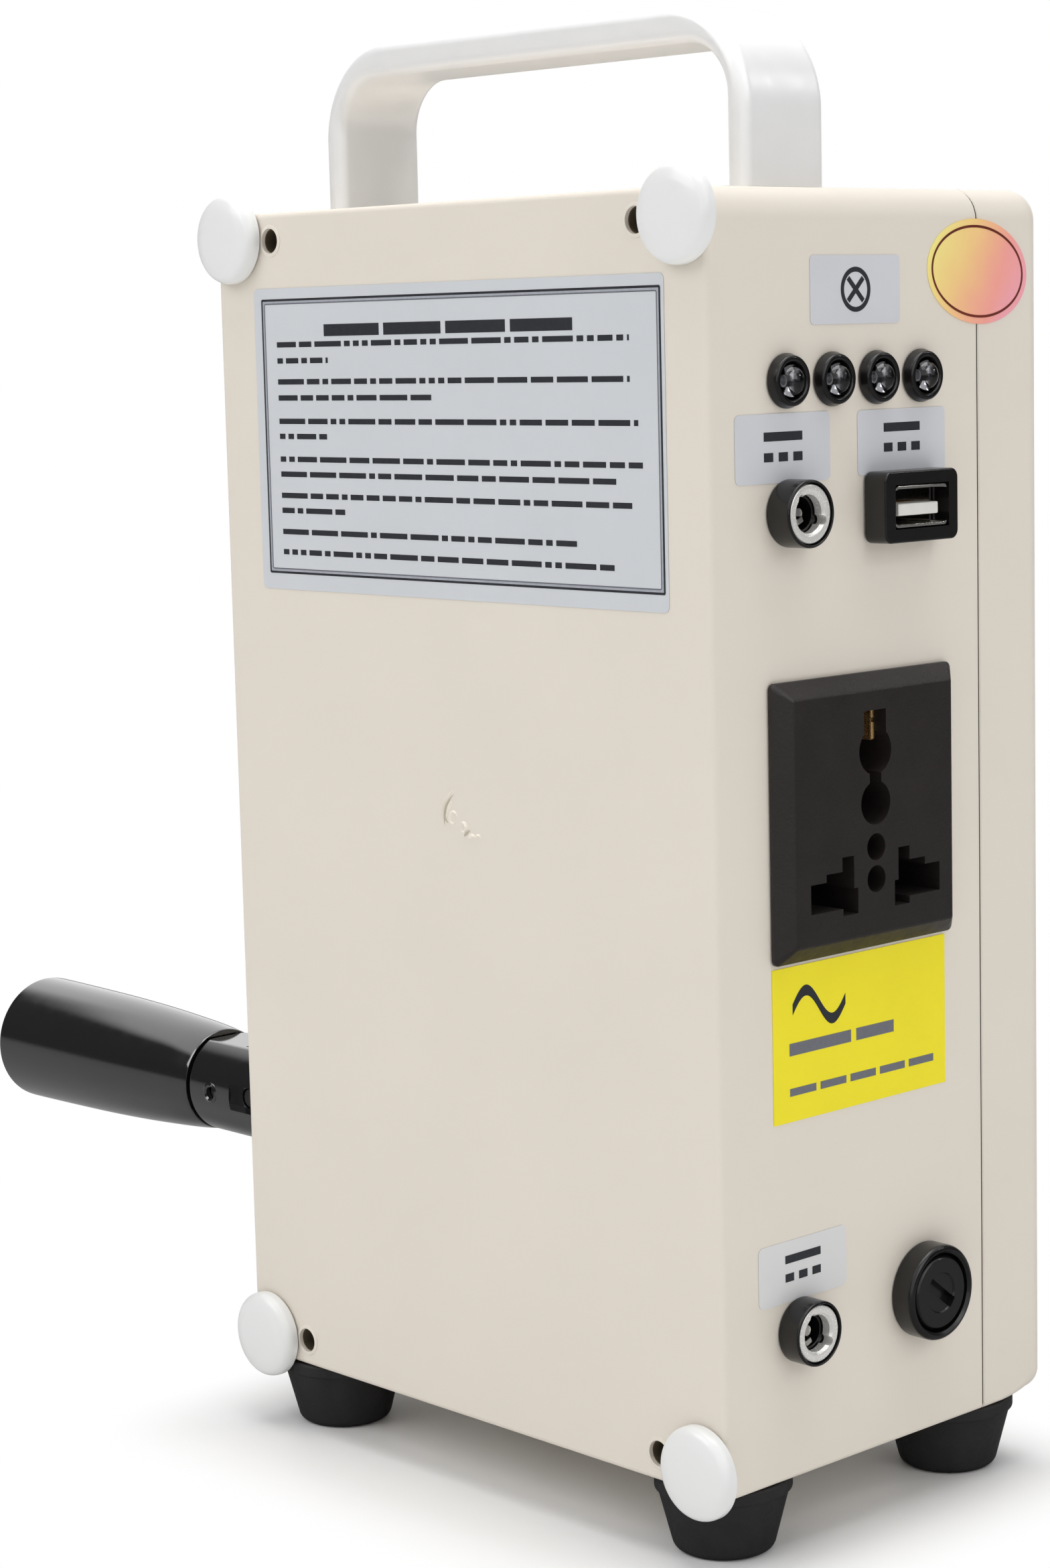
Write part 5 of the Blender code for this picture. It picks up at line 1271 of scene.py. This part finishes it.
def quality_seal():
    """The oval seal over the parting line, with a plain ring."""
    across = tilted(SEAL_TWIST)
    upward = RIGHT.cross(across)
    film, outer, inner = ([((SEAL_SIZE[0] + grow) * u, (SEAL_SIZE[1] + grow) * v) for u, v in circle(1, 96)]
                          for grow in (0, *SEAL_RING))
    sticker("quality_seal", film, SEAL_AT, seal_film(), across, upward)
    printed("seal_line", [outer, inner[::-1]], SEAL_AT, BROWN_PRINT, across, upward)


# CAD nodes whose shape is right keep it and get a finish

CARRIED = (
    (STEEL, ("handle_bolt_1", "handle_bolt_2", "crank_shaft", "grip_spindle", "gearbox_frame",
             "generator_body", "generator_pinion", *SCREW_NODES)),
    (BLACK_STEEL, ("pivot_pin", "spindle_pin")),
    (NYLON, ("drive_gear", "idler_gear")),
    (WRAP, ("battery_pack",)),
    (BOARD, ("inverter_board",)))


def carried_nodes():
    for material, nodes in CARRIED:
        for node in nodes:
            slots = frame["nodes"][node].data.materials
            slots.clear()
            slots.append(material)


# Stage, light and camera

FLOOR_HALF = 30
FLOOR_FADE = 0.028
FLOOR_GREY = (0.92, 0.92, 0.92)
FLOOR_MIRRORED = (0.26, 0.26, 0.26)
NOTHING = Vector((0, 0, 0))


def ray(tree, kind):
    return add(tree, "LightPath", {}, f"Is {kind} Ray")


def smooth_step(tree, value, start, end):
    ends = {"Value": value, "From Min": start, "From Max": end}
    return add(tree, "MapRange", ends, "Result", interpolation_type='SMOOTHSTEP')


def mix_shaders(tree, factor, first, second):
    return add(tree, "MixShader", {0: factor, 1: first, 2: second}, "Shader")


def studio_floor():
    """A pale floor that the camera sees as pure white away from the casing's shadow."""
    bm = bmesh.new()
    bmesh.ops.create_grid(bm, x_segments=2, y_segments=2, size=FLOOR_HALF)
    floor = linked("floor", baked("floor", bm))
    material, tree, principled = shader("pale_floor")
    feed(tree, principled, {
        "Roughness": 0.5, "Specular IOR Level": 0.1,
        "Base Color": blend_colours(tree, ray(tree, "Glossy"), FLOOR_GREY, FLOOR_MIRRORED)})
    glow = add(tree, "Emission", {"Strength": 1.0}, "Emission")
    half = Vector((CASE_W / 2, (COVER_HIGH.y - REAR_Y) / 2, 1))
    away = add(tree, "TexCoord", {}, "Object")
    for operation, other in (('SUBTRACT', middle("rear_shell")), ('ABSOLUTE', NOTHING), ('SUBTRACT', half),
                             ('MAXIMUM', NOTHING)):
        away = add(tree, "VectorMath", {0: away, 1: other}, "Vector", operation=operation)
    distance = add(tree, "VectorMath", {0: away}, "Value", operation='LENGTH')
    fade = smooth_step(tree, distance, 0, FLOOR_FADE)
    share = add(tree, "Math", {0: ray(tree, "Camera"), 1: fade}, "Value", operation='MULTIPLY')
    surface = mix_shaders(tree, share, principled.outputs["BSDF"], glow)
    feed(tree, tree.nodes["Material Output"], {"Surface": surface})
    floor.data.materials.append(material)


WORLD_LIGHT = 0.40
WHITE_LIGHT = (1, 1, 1)
DARK_WALL = (0.05, 0.05, 0.05)
DARK_SIDE = Vector((0.735, 0.678, 0))
DARK_FROM, DARK_LOW, DARK_HIGH = (0.40, 0.62), (-0.33, -0.25), (0.68, 0.58)


def studio_world():
    """White to the eye, softer on surfaces; reflections see two dark walls beside the camera."""
    world = bpy.data.worlds.new("studio")
    bpy.context.scene.world = world
    world.use_nodes = True
    tree = world.node_tree
    direction = add(tree, "TexCoord", {}, "Generated")
    height = add(tree, "SeparateXYZ", {"Vector": direction}, "Z")
    side = add(tree, "VectorMath", {0: direction, 1: DARK_SIDE}, "Value", operation='DOT_PRODUCT')
    either = add(tree, "Math", {0: side}, "Value", operation='ABSOLUTE')
    dark = smooth_step(tree, either, *DARK_FROM)
    for limits in (DARK_LOW, DARK_HIGH):
        within = smooth_step(tree, height, *limits)
        dark = add(tree, "Math", {0: dark, 1: within}, "Value", operation='MULTIPLY')
    walls = blend_colours(tree, dark, WHITE_LIGHT, DARK_WALL)
    mirrored = add(tree, "Background", {"Color": walls, "Strength": 1.0}, "Background")
    light = add(tree, "Background", {"Color": (*WHITE_LIGHT, 1), "Strength": WORLD_LIGHT}, "Background")
    seen = tree.nodes["Background"]
    feed(tree, seen, {"Color": (*WHITE_LIGHT, 1), "Strength": 1.0})
    surfaces = mix_shaders(tree, ray(tree, "Glossy"), light, mirrored)
    direct = add(tree, "Math", {0: ray(tree, "Camera"), 1: ray(tree, "Transmission")}, "Value",
                 operation='MAXIMUM')
    surface = mix_shaders(tree, direct, surfaces, seen.outputs["Background"])
    feed(tree, tree.nodes["World Output"], {"Surface": surface})


# Area lights: place, side of the square and power
LIGHTS = {
    "key": ((-0.45, -1.30, 1.25), 1.1, 10.4), "fill": ((1.50, -0.02, 0.95), 1.0, 4.6),
    "top": ((0.08, 0.10, 1.60), 1.2, 15), "glint": ((0.84, 1.00, 0.77), 0.10, 0.7)}
LIT_SPOT = Vector((0.03, 0, 0.14))


def soft_lights():
    for name, (at, side, power) in LIGHTS.items():
        data = bpy.data.lights.new(name, 'AREA')
        data.shape = 'RECTANGLE'
        data.size = side
        data.size_y = side
        data.energy = power
        light = linked(name, data)
        light.location = at
        light.rotation_euler = (LIT_SPOT - Vector(at)).to_track_quat('-Z', 'Y').to_euler()


CAMERA_AT = Vector((0.54603, -0.48019, 0.23535))
CAMERA_RIGHT = Vector((0.6817, 0.7312, -0.0244))
CAMERA_UP = Vector((-0.0827, 0.1101, 0.9905))
CAMERA_LENS = 76.09


def camera():
    data = bpy.data.cameras.new("camera")
    data.sensor_fit = 'VERTICAL'
    data.sensor_height = 36
    data.lens = CAMERA_LENS
    data.clip_start = 0.01
    back = CAMERA_RIGHT.cross(CAMERA_UP).normalized()
    upward = back.cross(CAMERA_RIGHT).normalized()
    turn = Matrix((CAMERA_RIGHT.normalized(), upward, back)).transposed().to_4x4()
    view = linked("camera", data)
    view.matrix_world = Matrix.Translation(CAMERA_AT) @ turn
    bpy.context.scene.camera = view


camera()
studio_floor()
studio_world()
soft_lights()

rear_shell()
# The gate mark's ridges: one set carries a painted highlight, the other a painted shadow
gate_mark("gate_mark", GATE_HIGHLIGHT_RIDGES, GATE_PAINTED_HIGHLIGHT)
gate_mark("gate_mark_painted_shadow", GATE_SHADOW_RIDGES, GATE_PAINTED_SHADOW)
front_cover()
for corner in range(1, 5):
    bumper(corner)
    foot(corner)
    lamp(corner)
handle()
jack("output_jack", -20)
jack("charge_jack", -35)
usb()
mains_socket()
fuse()
meter()
indicator()
for switch_number in range(1, 4):
    switch(switch_number)
crank()
crank_nut()
bearing()
knuckle()
grip()
rear_sheet()
side_labels()
quality_seal()
carried_nodes()

bpy.context.scene.view_settings.view_transform = 'Standard'
